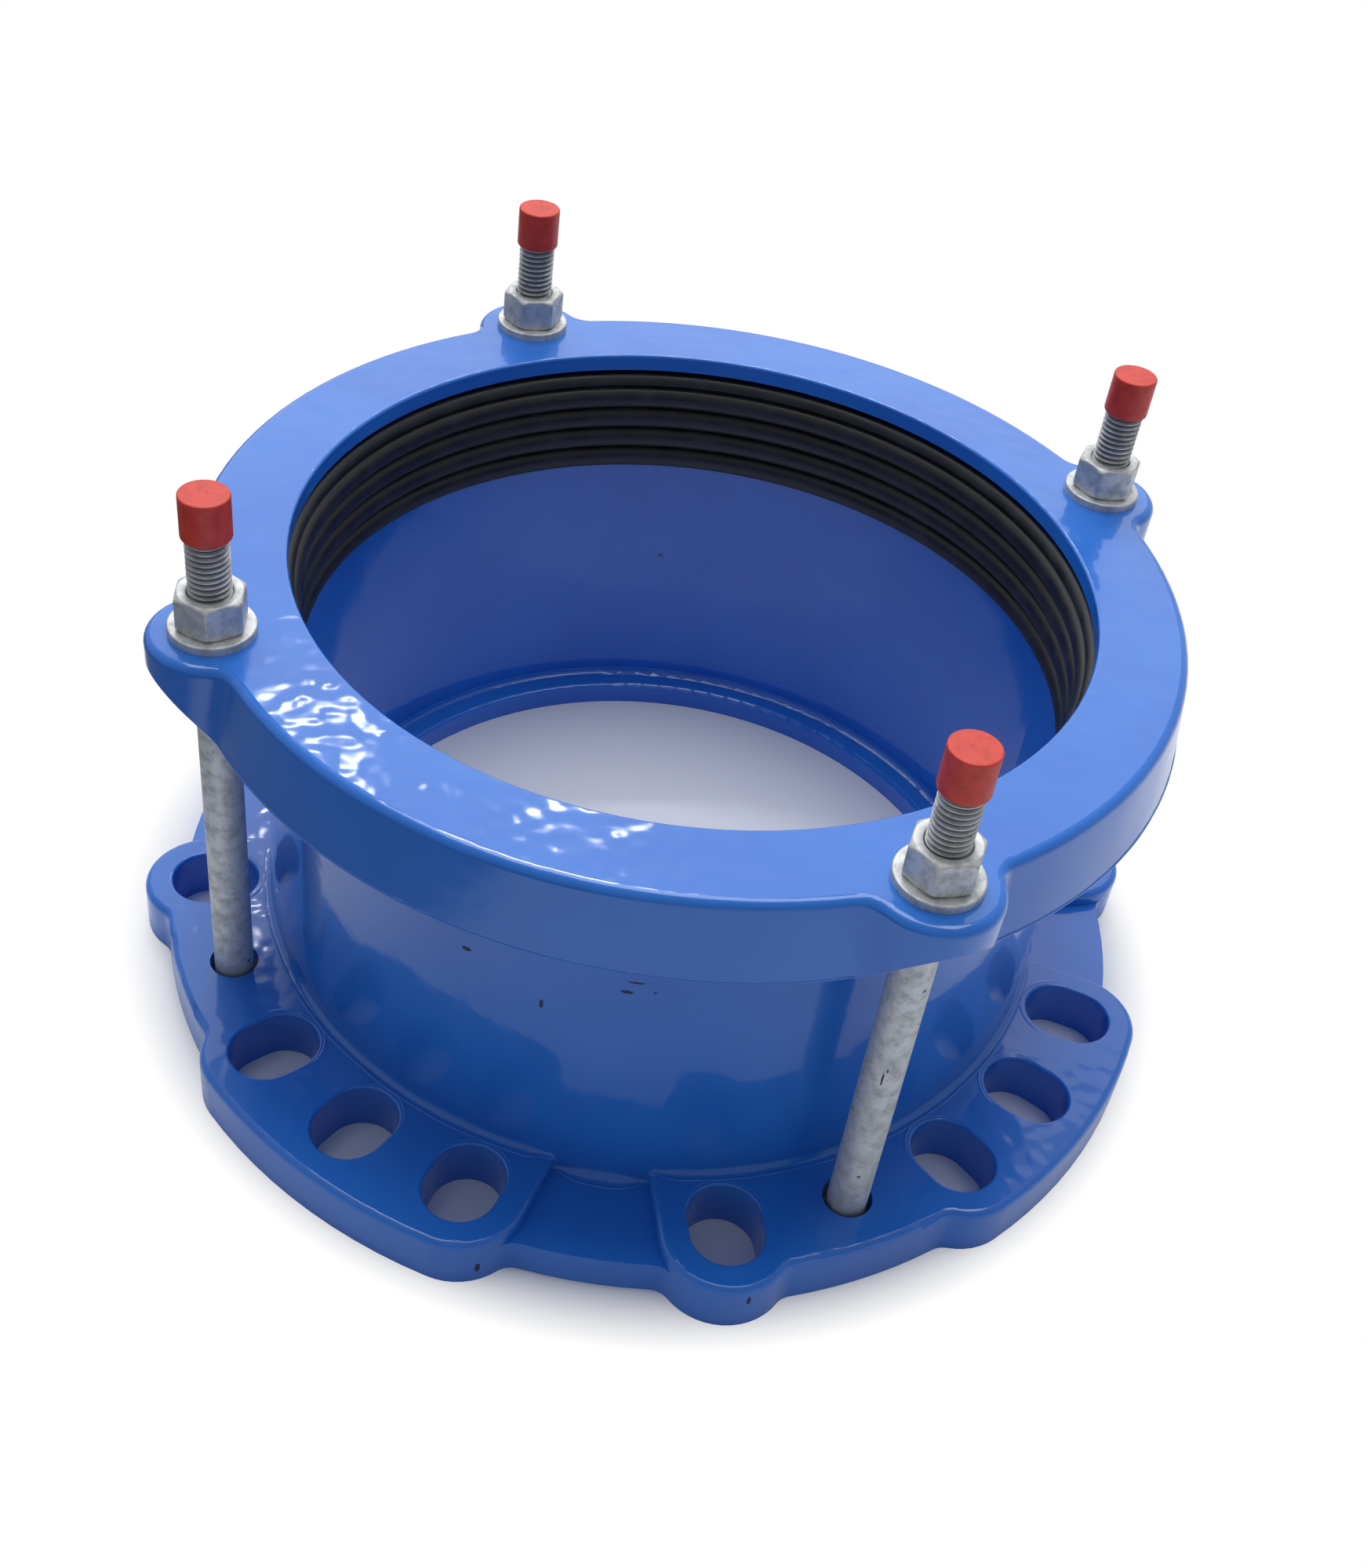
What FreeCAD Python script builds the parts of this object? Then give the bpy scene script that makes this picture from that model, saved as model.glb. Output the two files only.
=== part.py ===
"""Universal flange adaptor: a cast flange and socket, its gland, gasket, tie bolts, nuts and thread caps.

Lengths are in millimetres and angles in degrees. The origin is the centre of the flange's mating
face, and +Z runs along the pipe towards the gland.
"""
import FreeCAD, Part
import math
import os
import re

import Sketcher
from FreeCAD import Placement, Rotation, Vector

# Driving dimensions, each written once: name, value, what it is.
SIZES = [
    ("bore_radius", 121.0, "inside of the socket barrel"),
    ("barrel_wall", 8.0, "wall of the socket barrel"),
    ("stop_step", 9.0, "how far the pipe stop reaches in from the bore"),
    ("lip_height", 8.2, "height of the pipe stop above the mating face"),
    ("lip_round", 2.4, "rounding in the corner of the pipe stop"),
    ("lip_edge_round", 1.5, "rounding of the pipe stop's inner edge"),
    ("web_thickness", 12.0, "flange thickness in the hollows between the pads"),
    ("pad_thickness", 17.0, "flange thickness at the raised pads"),
    ("land_step", 7.0, "how far the flange outline steps in beside the tie bolts"),
    ("web_step", 12.0, "how far the flange outline steps in at the hollows"),
    ("pad_blend", 7.0, "hollow rounding of the flange outline between pads"),
    ("pad_edge_round", 2.2, "rounding of the pads' upper edge"),
    ("foot_round", 1.2, "hollow rounding where the barrel meets the flange"),
    ("slot_circle_radius", 147.5, "middle of the flange slots"),
    ("slot_width", 22.0, "width of a flange slot"),
    ("slot_length", 27.5, "radial length of a flange slot, end to end"),
    ("slot_rim", 8.75, "metal between a slot and the outline of its pad"),
    ("slot_edge_round", 0.9, "rounding of the slots' upper edge"),
    ("wide_count", 12.0, "holes in the twelve hole flange pattern"),
    ("narrow_count", 8.0, "holes in the eight hole flange pattern"),
    ("bolt_count", 4.0, "tie bolts, and repeats of the flange pattern"),
    ("bolt_angle", 15.0, "first tie bolt, measured from the first slot"),
    ("bolt_circle_radius", 145.5, "tie bolt circle"),
    ("bell_floor", 104.0, "height where the gasket cone starts"),
    ("bell_top", 127.0, "height of the bell's rim"),
    ("bell_lean", 10.5, "how far the gasket cone opens"),
    ("bell_wall", 6.5, "wall of the bell at its rim"),
    ("bell_band", 3.0, "straight band under the bell's rim"),
    ("flare_lag", 0.7, "how much higher the bell starts outside than inside"),
    ("gland_top", 147.4, "height of the gland's upper face"),
    ("gland_overhang", 9.7, "how far the gland's upper face reaches past the bell"),
    ("skirt_flare", 3.3, "how far the skirt leans out below that"),
    ("skirt_edge", 123.0, "height of the skirt's lower edge"),
    ("skirt_gap", 6.0, "gap between the skirt's lower edge and the bell"),
    ("gland_lip_height", 5.6, "length of the gland's inner lip"),
    ("gland_lip_clearance", 0.1, "gap between the lip's bore and the socket bore, in radius"),
    ("gland_ceiling", 137.0, "height of the gland's ceiling above the bell's rim"),
    ("ceiling_reach", 1.5, "how far the gland's ceiling reaches past the bell"),
    ("gland_edge_round", 2.8, "rounding of the gland's upper outer edge"),
    ("gland_bore_round", 1.0, "rounding of the gland's bore edge"),
    ("lug_radius", 18.3, "gland lug around a tie bolt"),
    ("lug_blend", 7.0, "hollow rounding where a lug meets the gland"),
    ("lug_slope_height", 139.0, "where the lug's sloping underside reaches its end"),
    ("bolt_hole", 15.0, "tie bolt hole in the flange and in the gland"),
    ("ridge_pitch", 7.9, "distance between gasket ridges"),
    ("ridge_count", 4.0, "narrow gasket ridges"),
    ("ridge_height", 2.8, "height of a gasket ridge"),
    ("ridge_land", 1.0, "flat on a gasket ridge's crest"),
    ("pipe_gap", 3.5, "gap between the bore and the largest pipe that the socket takes"),
    ("pipe_clearance", 0.3, "gap between that pipe and a ridge's crest"),
    ("gasket_seat_gap", 0.2, "gap between the gasket and the bell"),
    ("gasket_gland_gap", 0.3, "gap between the gasket and the gland"),
    ("shoulder_step", 1.5, "how far the gasket's upper lobe stands back from the ridges"),
    ("shoulder_round", 3.0, "rounding of the gasket's upper inner edge"),
    ("bolt_diameter", 12.0, "shank of a tie bolt"),
    ("bolt_length", 180.0, "tie bolt, from under its head to its end"),
    ("thread_length", 72.0, "threaded end of a tie bolt"),
    ("thread_radius", 5.93, "outside of the thread"),
    ("thread_chamfer", 1.2, "chamfer on the tie bolt's end"),
    ("head_height", 7.5, "height of a tie bolt's head"),
    ("hex_flats", 18.0, "across the flats of a nut and of a bolt head"),
    ("head_recess", 8.5, "depth of the recess for a bolt head"),
    ("recess_clearance", 0.5, "gap around a bolt head, in flats"),
    ("washer_diameter", 24.0, "outside of a washer"),
    ("washer_bore", 13.0, "hole in a washer"),
    ("washer_thickness", 2.5, "thickness of a washer"),
    ("washer_edge_round", 0.5, "rounding of a washer's upper edge"),
    ("nut_height", 10.8, "height of a nut"),
    ("nut_clearance", 0.07, "gap between a nut's bore and the thread, in radius"),
    ("hex_chamfer_angle", 30.0, "slope of the chamfer on a nut's corners"),
    ("cap_length", 17.0, "length of a thread cap"),
    ("cap_wall", 0.85, "wall of a thread cap"),
    ("cap_top", 1.9, "closed end of a thread cap"),
    ("cap_gap", 0.4, "gap between a cap's closed end and the bolt's end"),
    ("cap_clearance", 0.07, "gap between a cap and the thread, in radius"),
    ("cap_edge_round", 0.5, "rounding of a cap's closed end"),
    ("cap_mouth_round", 0.4, "rounding of a cap's open end, outside"),
    ("nut_turn_1", 56.0, "how far the first nut was turned when it was last tightened"),
    ("nut_turn_2", 2.0, "the same for the second nut"),
    ("nut_turn_3", 24.0, "the same for the third nut"),
    ("nut_turn_4", 3.0, "the same for the fourth nut"),
]
# Radii that several pieces share, as formulas of the sizes above.
STOP_RADIUS = "(bore_radius - stop_step)"
PIPE_RADIUS = "(bore_radius - pipe_gap)"
BELL_RADIUS = "(bore_radius + bell_lean + bell_wall)"
GLAND_RADIUS = f"({BELL_RADIUS} + gland_overhang)"
SKIRT_RADIUS = f"({GLAND_RADIUS} + skirt_flare)"
FULL_TURN = 360.0
NEAR = 0.02
BOLTS = range(1, 5)
ALIASES = {name for name, value, meaning in SIZES}

doc = FreeCAD.newDocument("flange_adaptor")
subparts = []


def make_sheet():
    """Write the driving dimensions into the document's sheet."""
    table = doc.addObject("Spreadsheet::Sheet", "sizes")
    for row, (name, value, meaning) in enumerate(SIZES, start=1):
        table.set(f"A{row}", name)
        table.set(f"B{row}", str(value))
        table.set(f"C{row}", meaning)
        table.setAlias(f"B{row}", name)
    doc.recompute()
    return table


def full(formula):
    """Give each driving dimension in a formula its sheet's name."""
    return re.sub(r"[a-z][a-z_0-9]*", lambda word: "sizes." + word.group()
                  if word.group() in ALIASES else word.group(), formula)


def value_of(formula):
    """Number that a formula gives now."""
    return float(sheet.evalExpression(full(formula)))


def bind(thing, prop, formula):
    """Tie a property to the sheet."""
    thing.setExpression(prop, full(formula))


def new_body(name):
    """Start a sub-part."""
    body = doc.addObject("PartDesign::Body", name)
    body.Label = name
    subparts.append(body)
    return body


def origin_feature(body, role):
    """Plane or axis of a body's own origin."""
    return next(item for item in body.Origin.OriginFeatures if item.Role == role)


def new_sketch(body, name, plane, height=None, turn=None):
    """Sketch on one of the body's planes, lifted by a height or turned by an angle about Z."""
    sketch = body.newObject("Sketcher::SketchObject", name)
    sketch.AttachmentSupport = [(origin_feature(body, plane), "")]
    sketch.MapMode = "FlatFace"
    spin_axis = Vector(0, 0, 1) if plane == "XY_Plane" else Vector(0, 1, 0)
    if turn:
        sketch.AttachmentOffset = Placement(Vector(), Rotation(spin_axis, value_of(turn)))
        bind(sketch, "AttachmentOffset.Rotation.Angle", turn)
    if height:
        bind(sketch, "AttachmentOffset.Base.z", height)
    return sketch


def pin_point(sketch, geometry, end, across, along):
    """Hold one point of a sketch at a place given by two formulas."""
    for kind, axis, formula in (("DistanceX", -2, across), ("DistanceY", -1, along)):
        if formula == "0":
            sketch.addConstraint(Sketcher.Constraint("PointOnObject", geometry, end, axis))
            continue
        size = value_of(formula)
        if size >= 0:
            index = sketch.addConstraint(Sketcher.Constraint(kind, -1, 1, geometry, end, size))
            bind(sketch, f"Constraints[{index}]", formula)
        else:
            index = sketch.addConstraint(Sketcher.Constraint(kind, geometry, end, -1, 1, -size))
            bind(sketch, f"Constraints[{index}]", f"-({formula})")


def draw_polygon(sketch, corners):
    """Closed outline with straight sides, its corners given by formulas."""
    spots = [Vector(value_of(across), value_of(along), 0) for across, along in corners]
    count = len(spots)
    for number in range(count):
        sketch.addGeometry(Part.LineSegment(spots[number], spots[(number + 1) % count]))
    for number in range(count):
        following = (number + 1) % count
        sketch.addConstraint(Sketcher.Constraint("Coincident", number, 2, following, 1))
    for number, (across, along) in enumerate(corners):
        pin_point(sketch, number, 1, across, along)


def draw_circle(sketch, across, along, radius):
    """Circle given by formulas."""
    centre = Vector(value_of(across), value_of(along), 0)
    index = sketch.addGeometry(Part.Circle(centre, Vector(0, 0, 1), value_of(radius)))
    pin_point(sketch, index, 3, across, along)
    size = sketch.addConstraint(Sketcher.Constraint("Radius", index, value_of(radius)))
    bind(sketch, f"Constraints[{size}]", radius)


def draw_hexagon(sketch, across_flats, middle="0"):
    """Hexagon with its middle and one of its corners on the sketch's X axis."""
    corners = []
    for number in range(6):
        corner = 60 * number
        along = "0" if number in (0, 3) else f"{across_flats} / sqrt(3) * sin({corner})"
        corners.append((f"{middle} + {across_flats} / sqrt(3) * cos({corner})", along))
    draw_polygon(sketch, corners)


def draw_slot(sketch, middle, length, width):
    """Slot with round ends that lies along the sketch's X axis."""
    half = value_of(width) / 2
    reach = value_of(f"({length} - {width}) / 2")
    left = Vector(value_of(middle) - reach, 0, 0)
    right = Vector(value_of(middle) + reach, 0, 0)
    up = Vector(0, half, 0)
    quarter = math.pi / 2
    sketch.addGeometry(Part.ArcOfCircle(Part.Circle(right, Vector(0, 0, 1), half), -quarter, quarter))
    sketch.addGeometry(Part.LineSegment(right + up, left + up))
    sketch.addGeometry(Part.ArcOfCircle(Part.Circle(left, Vector(0, 0, 1), half), quarter, 3 * quarter))
    sketch.addGeometry(Part.LineSegment(left - up, right - up))
    for first, first_end, second, second_end in ((0, 2, 1, 1), (1, 2, 2, 1), (2, 2, 3, 1), (3, 2, 0, 1)):
        sketch.addConstraint(Sketcher.Constraint("Tangent", first, first_end, second, second_end))
    pin_point(sketch, 0, 3, f"{middle} + ({length} - {width}) / 2", "0")
    pin_point(sketch, 2, 3, f"{middle} - ({length} - {width}) / 2", "0")
    size = sketch.addConstraint(Sketcher.Constraint("Radius", 0, half))
    bind(sketch, f"Constraints[{size}]", f"{width} / 2")


def draw_single_pad(sketch, root, centre, edge):
    """Outline of a pad round one slot: straight sides and a round outer end."""
    radius = f"({edge} - {centre})"
    half = value_of(radius)
    middle = Vector(value_of(centre), 0, 0)
    inner = value_of(root)
    quarter = math.pi / 2
    sketch.addGeometry(Part.ArcOfCircle(Part.Circle(middle, Vector(0, 0, 1), half), -quarter, quarter))
    sketch.addGeometry(Part.LineSegment(middle + Vector(0, half, 0), Vector(inner, half, 0)))
    sketch.addGeometry(Part.LineSegment(Vector(inner, half, 0), Vector(inner, -half, 0)))
    sketch.addGeometry(Part.LineSegment(Vector(inner, -half, 0), middle - Vector(0, half, 0)))
    sketch.addConstraint(Sketcher.Constraint("Tangent", 0, 2, 1, 1))
    sketch.addConstraint(Sketcher.Constraint("Coincident", 1, 2, 2, 1))
    sketch.addConstraint(Sketcher.Constraint("Coincident", 2, 2, 3, 1))
    sketch.addConstraint(Sketcher.Constraint("Tangent", 3, 2, 0, 1))
    pin_point(sketch, 0, 3, centre, "0")
    pin_point(sketch, 1, 2, root, radius)
    pin_point(sketch, 2, 2, root, f"-{radius}")
    size = sketch.addConstraint(Sketcher.Constraint("Radius", 0, half))
    bind(sketch, f"Constraints[{size}]", radius)


def draw_group_pad(sketch, root, centre, edge, half_angle):
    """Outline of a pad round a group of slots: an arc outside and round ends at its end slots."""
    angle = value_of(half_angle)
    swing = math.radians(angle)
    outer = value_of(edge)
    radius = f"({edge} - {centre})"
    end_radius = value_of(radius)
    upper = Vector(value_of(centre) * math.cos(swing), value_of(centre) * math.sin(swing), 0)
    lower = Vector(upper.x, -upper.y, 0)
    side_x = f"{root} * cos({half_angle}) - {radius} * sin({half_angle})"
    side_y = f"{root} * sin({half_angle}) + {radius} * cos({half_angle})"
    upper_root = Vector(value_of(side_x), value_of(side_y), 0)
    lower_root = Vector(upper_root.x, -upper_root.y, 0)
    sideways = Vector(-math.sin(swing), math.cos(swing), 0) * end_radius
    upper_side = upper + sideways
    lower_side = Vector(upper_side.x, -upper_side.y, 0)
    quarter = math.pi / 2
    up = Vector(0, 0, 1)
    sketch.addGeometry(Part.ArcOfCircle(Part.Circle(Vector(), up, outer), -swing, swing))
    sketch.addGeometry(Part.ArcOfCircle(Part.Circle(upper, up, end_radius), swing, swing + quarter))
    sketch.addGeometry(Part.LineSegment(upper_side, upper_root))
    sketch.addGeometry(Part.LineSegment(upper_root, lower_root))
    sketch.addGeometry(Part.LineSegment(lower_root, lower_side))
    sketch.addGeometry(Part.ArcOfCircle(Part.Circle(lower, up, end_radius), -swing - quarter, -swing))
    sketch.addConstraint(Sketcher.Constraint("Coincident", 0, 3, -1, 1))
    sketch.addConstraint(Sketcher.Constraint("Tangent", 0, 2, 1, 1))
    sketch.addConstraint(Sketcher.Constraint("Tangent", 1, 2, 2, 1))
    sketch.addConstraint(Sketcher.Constraint("Coincident", 2, 2, 3, 1))
    sketch.addConstraint(Sketcher.Constraint("Coincident", 3, 2, 4, 1))
    sketch.addConstraint(Sketcher.Constraint("Tangent", 4, 2, 5, 1))
    sketch.addConstraint(Sketcher.Constraint("Tangent", 5, 2, 0, 1))
    size = sketch.addConstraint(Sketcher.Constraint("Radius", 0, outer))
    bind(sketch, f"Constraints[{size}]", edge)
    pin_point(sketch, 1, 3, f"{centre} * cos({half_angle})", f"{centre} * sin({half_angle})")
    pin_point(sketch, 5, 3, f"{centre} * cos({half_angle})", f"-{centre} * sin({half_angle})")
    pin_point(sketch, 2, 2, side_x, side_y)
    pin_point(sketch, 3, 2, side_x, f"-({side_y})")


def draw_ridge(sketch, crest, root, height, middle, land):
    """Section of one gasket ridge: a flat crest between two round flanks."""
    rise = value_of(height)
    flat = value_of(land) / 2
    reach = value_of("ridge_pitch / 2") - flat
    radius = (reach ** 2 + rise ** 2) / (2 * rise)
    centre_z = value_of(middle)
    inner = value_of(crest)
    back = value_of(root)
    foot = inner + rise
    lower = Vector(inner + radius, centre_z - flat, 0)
    upper = Vector(inner + radius, centre_z + flat, 0)
    swing = math.atan2(reach, radius - rise)
    up = Vector(0, 0, 1)
    sketch.addGeometry(Part.LineSegment(Vector(back, centre_z - flat - reach, 0),
                                        Vector(back, centre_z + flat + reach, 0)))
    sketch.addGeometry(Part.LineSegment(Vector(back, centre_z + flat + reach, 0),
                                        Vector(foot, centre_z + flat + reach, 0)))
    sketch.addGeometry(Part.ArcOfCircle(Part.Circle(upper, up, radius), math.pi - swing, math.pi))
    sketch.addGeometry(Part.LineSegment(Vector(inner, centre_z + flat, 0), Vector(inner, centre_z - flat, 0)))
    sketch.addGeometry(Part.ArcOfCircle(Part.Circle(lower, up, radius), math.pi, math.pi + swing))
    sketch.addGeometry(Part.LineSegment(Vector(foot, centre_z - flat - reach, 0),
                                        Vector(back, centre_z - flat - reach, 0)))
    for first, first_end, second, second_end in ((0, 2, 1, 1), (1, 2, 2, 1), (4, 2, 5, 1), (5, 2, 0, 1)):
        sketch.addConstraint(Sketcher.Constraint("Coincident", first, first_end, second, second_end))
    sketch.addConstraint(Sketcher.Constraint("Tangent", 2, 2, 3, 1))
    sketch.addConstraint(Sketcher.Constraint("Tangent", 3, 2, 4, 1))
    pin_point(sketch, 0, 1, root, f"{middle} - ridge_pitch / 2")
    pin_point(sketch, 0, 2, root, f"{middle} + ridge_pitch / 2")
    pin_point(sketch, 1, 2, f"{crest} + {height}", f"{middle} + ridge_pitch / 2")
    pin_point(sketch, 4, 2, f"{crest} + {height}", f"{middle} - ridge_pitch / 2")
    pin_point(sketch, 3, 1, crest, f"{middle} + {land} / 2")
    pin_point(sketch, 3, 2, crest, f"{middle} - {land} / 2")


def revolve(body, name, sketch, cut=False):
    """Turn a section once about the body's Z axis."""
    kind = "PartDesign::Groove" if cut else "PartDesign::Revolution"
    feature = body.newObject(kind, name)
    feature.Profile = sketch
    feature.ReferenceAxis = (origin_feature(body, "Z_Axis"), [""])
    feature.Angle = FULL_TURN
    sketch.Visibility = False
    doc.recompute()
    return feature


def sector(body, name, sketch, angle):
    """Turn a section by an angle, half to each side of its plane."""
    feature = body.newObject("PartDesign::Revolution", name)
    feature.Profile = sketch
    feature.ReferenceAxis = (origin_feature(body, "Z_Axis"), [""])
    feature.Midplane = True
    bind(feature, "Angle", angle)
    doc.recompute()
    return feature


def extrude(body, name, sketch, length, cut=False):
    """Pad or cut a sketch upwards by a length."""
    feature = body.newObject("PartDesign::Pocket" if cut else "PartDesign::Pad", name)
    feature.Profile = sketch
    bind(feature, "Length", length)
    feature.Reversed = cut
    doc.recompute()
    return feature


def drill(body, name, sketch):
    """Cut a sketch upwards through the whole body."""
    feature = body.newObject("PartDesign::Pocket", name)
    feature.Profile = sketch
    feature.Type = "ThroughAll"
    feature.Reversed = True
    doc.recompute()
    return feature


def repeat(body, name, features, count):
    """Repeat features round the Z axis."""
    pattern = body.newObject("PartDesign::PolarPattern", name)
    pattern.Originals = features
    pattern.Axis = (origin_feature(body, "Z_Axis"), [""])
    pattern.Angle = FULL_TURN
    bind(pattern, "Occurrences", count)
    body.Tip = pattern
    doc.recompute()
    return pattern


def stack(body, name, features, length, count):
    """Repeat features along the Z axis."""
    pattern = body.newObject("PartDesign::LinearPattern", name)
    pattern.Originals = features
    pattern.Direction = (origin_feature(body, "Z_Axis"), [""])
    bind(pattern, "Length", length)
    bind(pattern, "Occurrences", count)
    body.Tip = pattern
    doc.recompute()
    return pattern


def edge_names(feature, wanted):
    """Names of the edges that a test picks."""
    return [f"Edge{number}" for number, edge in enumerate(feature.Shape.Edges, start=1) if wanted(edge)]


def reach(edge):
    """How far the middle of an edge is from the pipe's axis."""
    middle = edge.valueAt((edge.FirstParameter + edge.LastParameter) / 2)
    return math.hypot(middle.x, middle.y)


def is_upright(edge):
    """Whether an edge spans some height."""
    return edge.BoundBox.ZLength > NEAR


def lies_at(edge, height):
    """Whether an edge lies in the level plane at a height."""
    level = value_of(height)
    return near(edge.BoundBox.ZMin, level) and near(edge.BoundBox.ZMax, level)


def dress(body, name, wanted, size, kind="PartDesign::Fillet"):
    """Round or chamfer the edges that a test picks."""
    base = body.Tip
    feature = body.newObject(kind, name)
    feature.Base = (base, edge_names(base, wanted))
    bind(feature, "Radius" if kind == "PartDesign::Fillet" else "Size", size)
    body.Tip = feature
    doc.recompute()
    return feature


def near(first, second):
    """Whether two lengths are the same."""
    return abs(first - second) < NEAR


sheet = make_sheet()


def make_flange_body():
    """Casting with the drilled flange, the socket barrel and the gasket bell."""
    body = new_body("flange_body")
    barrel = "(bore_radius + barrel_wall)"
    slot_end = "(slot_circle_radius + (slot_length - slot_width) / 2)"
    pad_edge = f"({slot_end} + slot_width / 2 + slot_rim)"
    land_edge = f"({pad_edge} - land_step)"
    web_edge = f"({pad_edge} - web_step)"
    outside = new_sketch(body, "barrel_section", "XZ_Plane")
    draw_polygon(outside, [
        ("0", "0"),
        (web_edge, "0"),
        (web_edge, "web_thickness"),
        (barrel, "web_thickness"),
        (barrel, "bell_floor + flare_lag"),
        (BELL_RADIUS, "bell_top - bell_band"),
        (BELL_RADIUS, "bell_top"),
        ("0", "bell_top"),
    ])
    revolve(body, "barrel", outside)

    wide_step = "(360 / wide_count)"
    single = new_sketch(body, "single_pad_outline", "XY_Plane")
    draw_single_pad(single, STOP_RADIUS, slot_end, pad_edge)
    single_pad = extrude(body, "single_pad", single, "pad_thickness")
    repeat(body, "single_pads", [single_pad], "bolt_count")

    group = new_sketch(body, "group_pad_outline", "XY_Plane", turn=f"{wide_step} * 1.5")
    draw_group_pad(group, STOP_RADIUS, slot_end, pad_edge, f"({wide_step} / 2)")
    group_pad = extrude(body, "group_pad", group, "pad_thickness")
    repeat(body, "group_pads", [group_pad], "bolt_count")

    land = new_sketch(body, "bolt_land_section", "XZ_Plane", turn="bolt_angle")
    draw_polygon(land, [
        (STOP_RADIUS, "0"),
        (land_edge, "0"),
        (land_edge, "pad_thickness"),
        (STOP_RADIUS, "pad_thickness"),
    ])
    bolt_land = sector(body, "bolt_land", land, wide_step)
    repeat(body, "bolt_lands", [bolt_land], "bolt_count")

    bore = new_sketch(body, "bore_section", "XZ_Plane")
    draw_polygon(bore, [
        ("0", "0"),
        (STOP_RADIUS, "0"),
        (STOP_RADIUS, "lip_height"),
        ("bore_radius", "lip_height"),
        ("bore_radius", "bell_floor"),
        ("bore_radius + bell_lean", "bell_top"),
        ("0", "bell_top"),
    ])
    revolve(body, "bore", bore, cut=True)
    outline = (value_of(land_edge), value_of(web_edge))
    dress(body, "outline_blends", lambda edge: is_upright(edge)
          and any(near(reach(edge), radius) for radius in outline), "pad_blend")
    foot = value_of(barrel)
    dress(body, "pad_edges", lambda edge: lies_at(edge, "pad_thickness") and reach(edge) > foot + NEAR,
          "pad_edge_round")
    dress(body, "barrel_foot", lambda edge: near(reach(edge), foot)
          and (lies_at(edge, "pad_thickness") or lies_at(edge, "web_thickness")), "foot_round")

    for pattern, turn, count in (("wide", "0", "wide_count"), ("narrow", "(360 / narrow_count)", "bolt_count")):
        outline = new_sketch(body, f"{pattern}_slot_outline", "XY_Plane", turn=turn)
        draw_slot(outline, "slot_circle_radius", "slot_length", "slot_width")
        slot = drill(body, f"{pattern}_slot", outline)
        repeat(body, f"{pattern}_slots", [slot], count)
    dress(body, "slot_edges", lambda edge: lies_at(edge, "pad_thickness")
          and foot + NEAR < reach(edge) < value_of(f"{slot_end} + slot_width / 2") + NEAR, "slot_edge_round")

    hole_outline = new_sketch(body, "bolt_hole_outline", "XY_Plane", turn="bolt_angle")
    draw_circle(hole_outline, "bolt_circle_radius", "0", "bolt_hole / 2")
    hole = drill(body, "bolt_hole", hole_outline)
    repeat(body, "bolt_holes", [hole], "bolt_count")
    recess_outline = new_sketch(body, "head_recess_outline", "XY_Plane", turn="bolt_angle")
    draw_hexagon(recess_outline, "(hex_flats + recess_clearance)", "bolt_circle_radius")
    recess = extrude(body, "head_recess", recess_outline, "head_recess", cut=True)
    repeat(body, "head_recesses", [recess], "bolt_count")

    dress(body, "stop_corner", lambda edge: lies_at(edge, "lip_height")
          and near(reach(edge), value_of("bore_radius")), "lip_round")
    dress(body, "stop_edge", lambda edge: lies_at(edge, "lip_height")
          and near(reach(edge), value_of(STOP_RADIUS)), "lip_edge_round")


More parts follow.
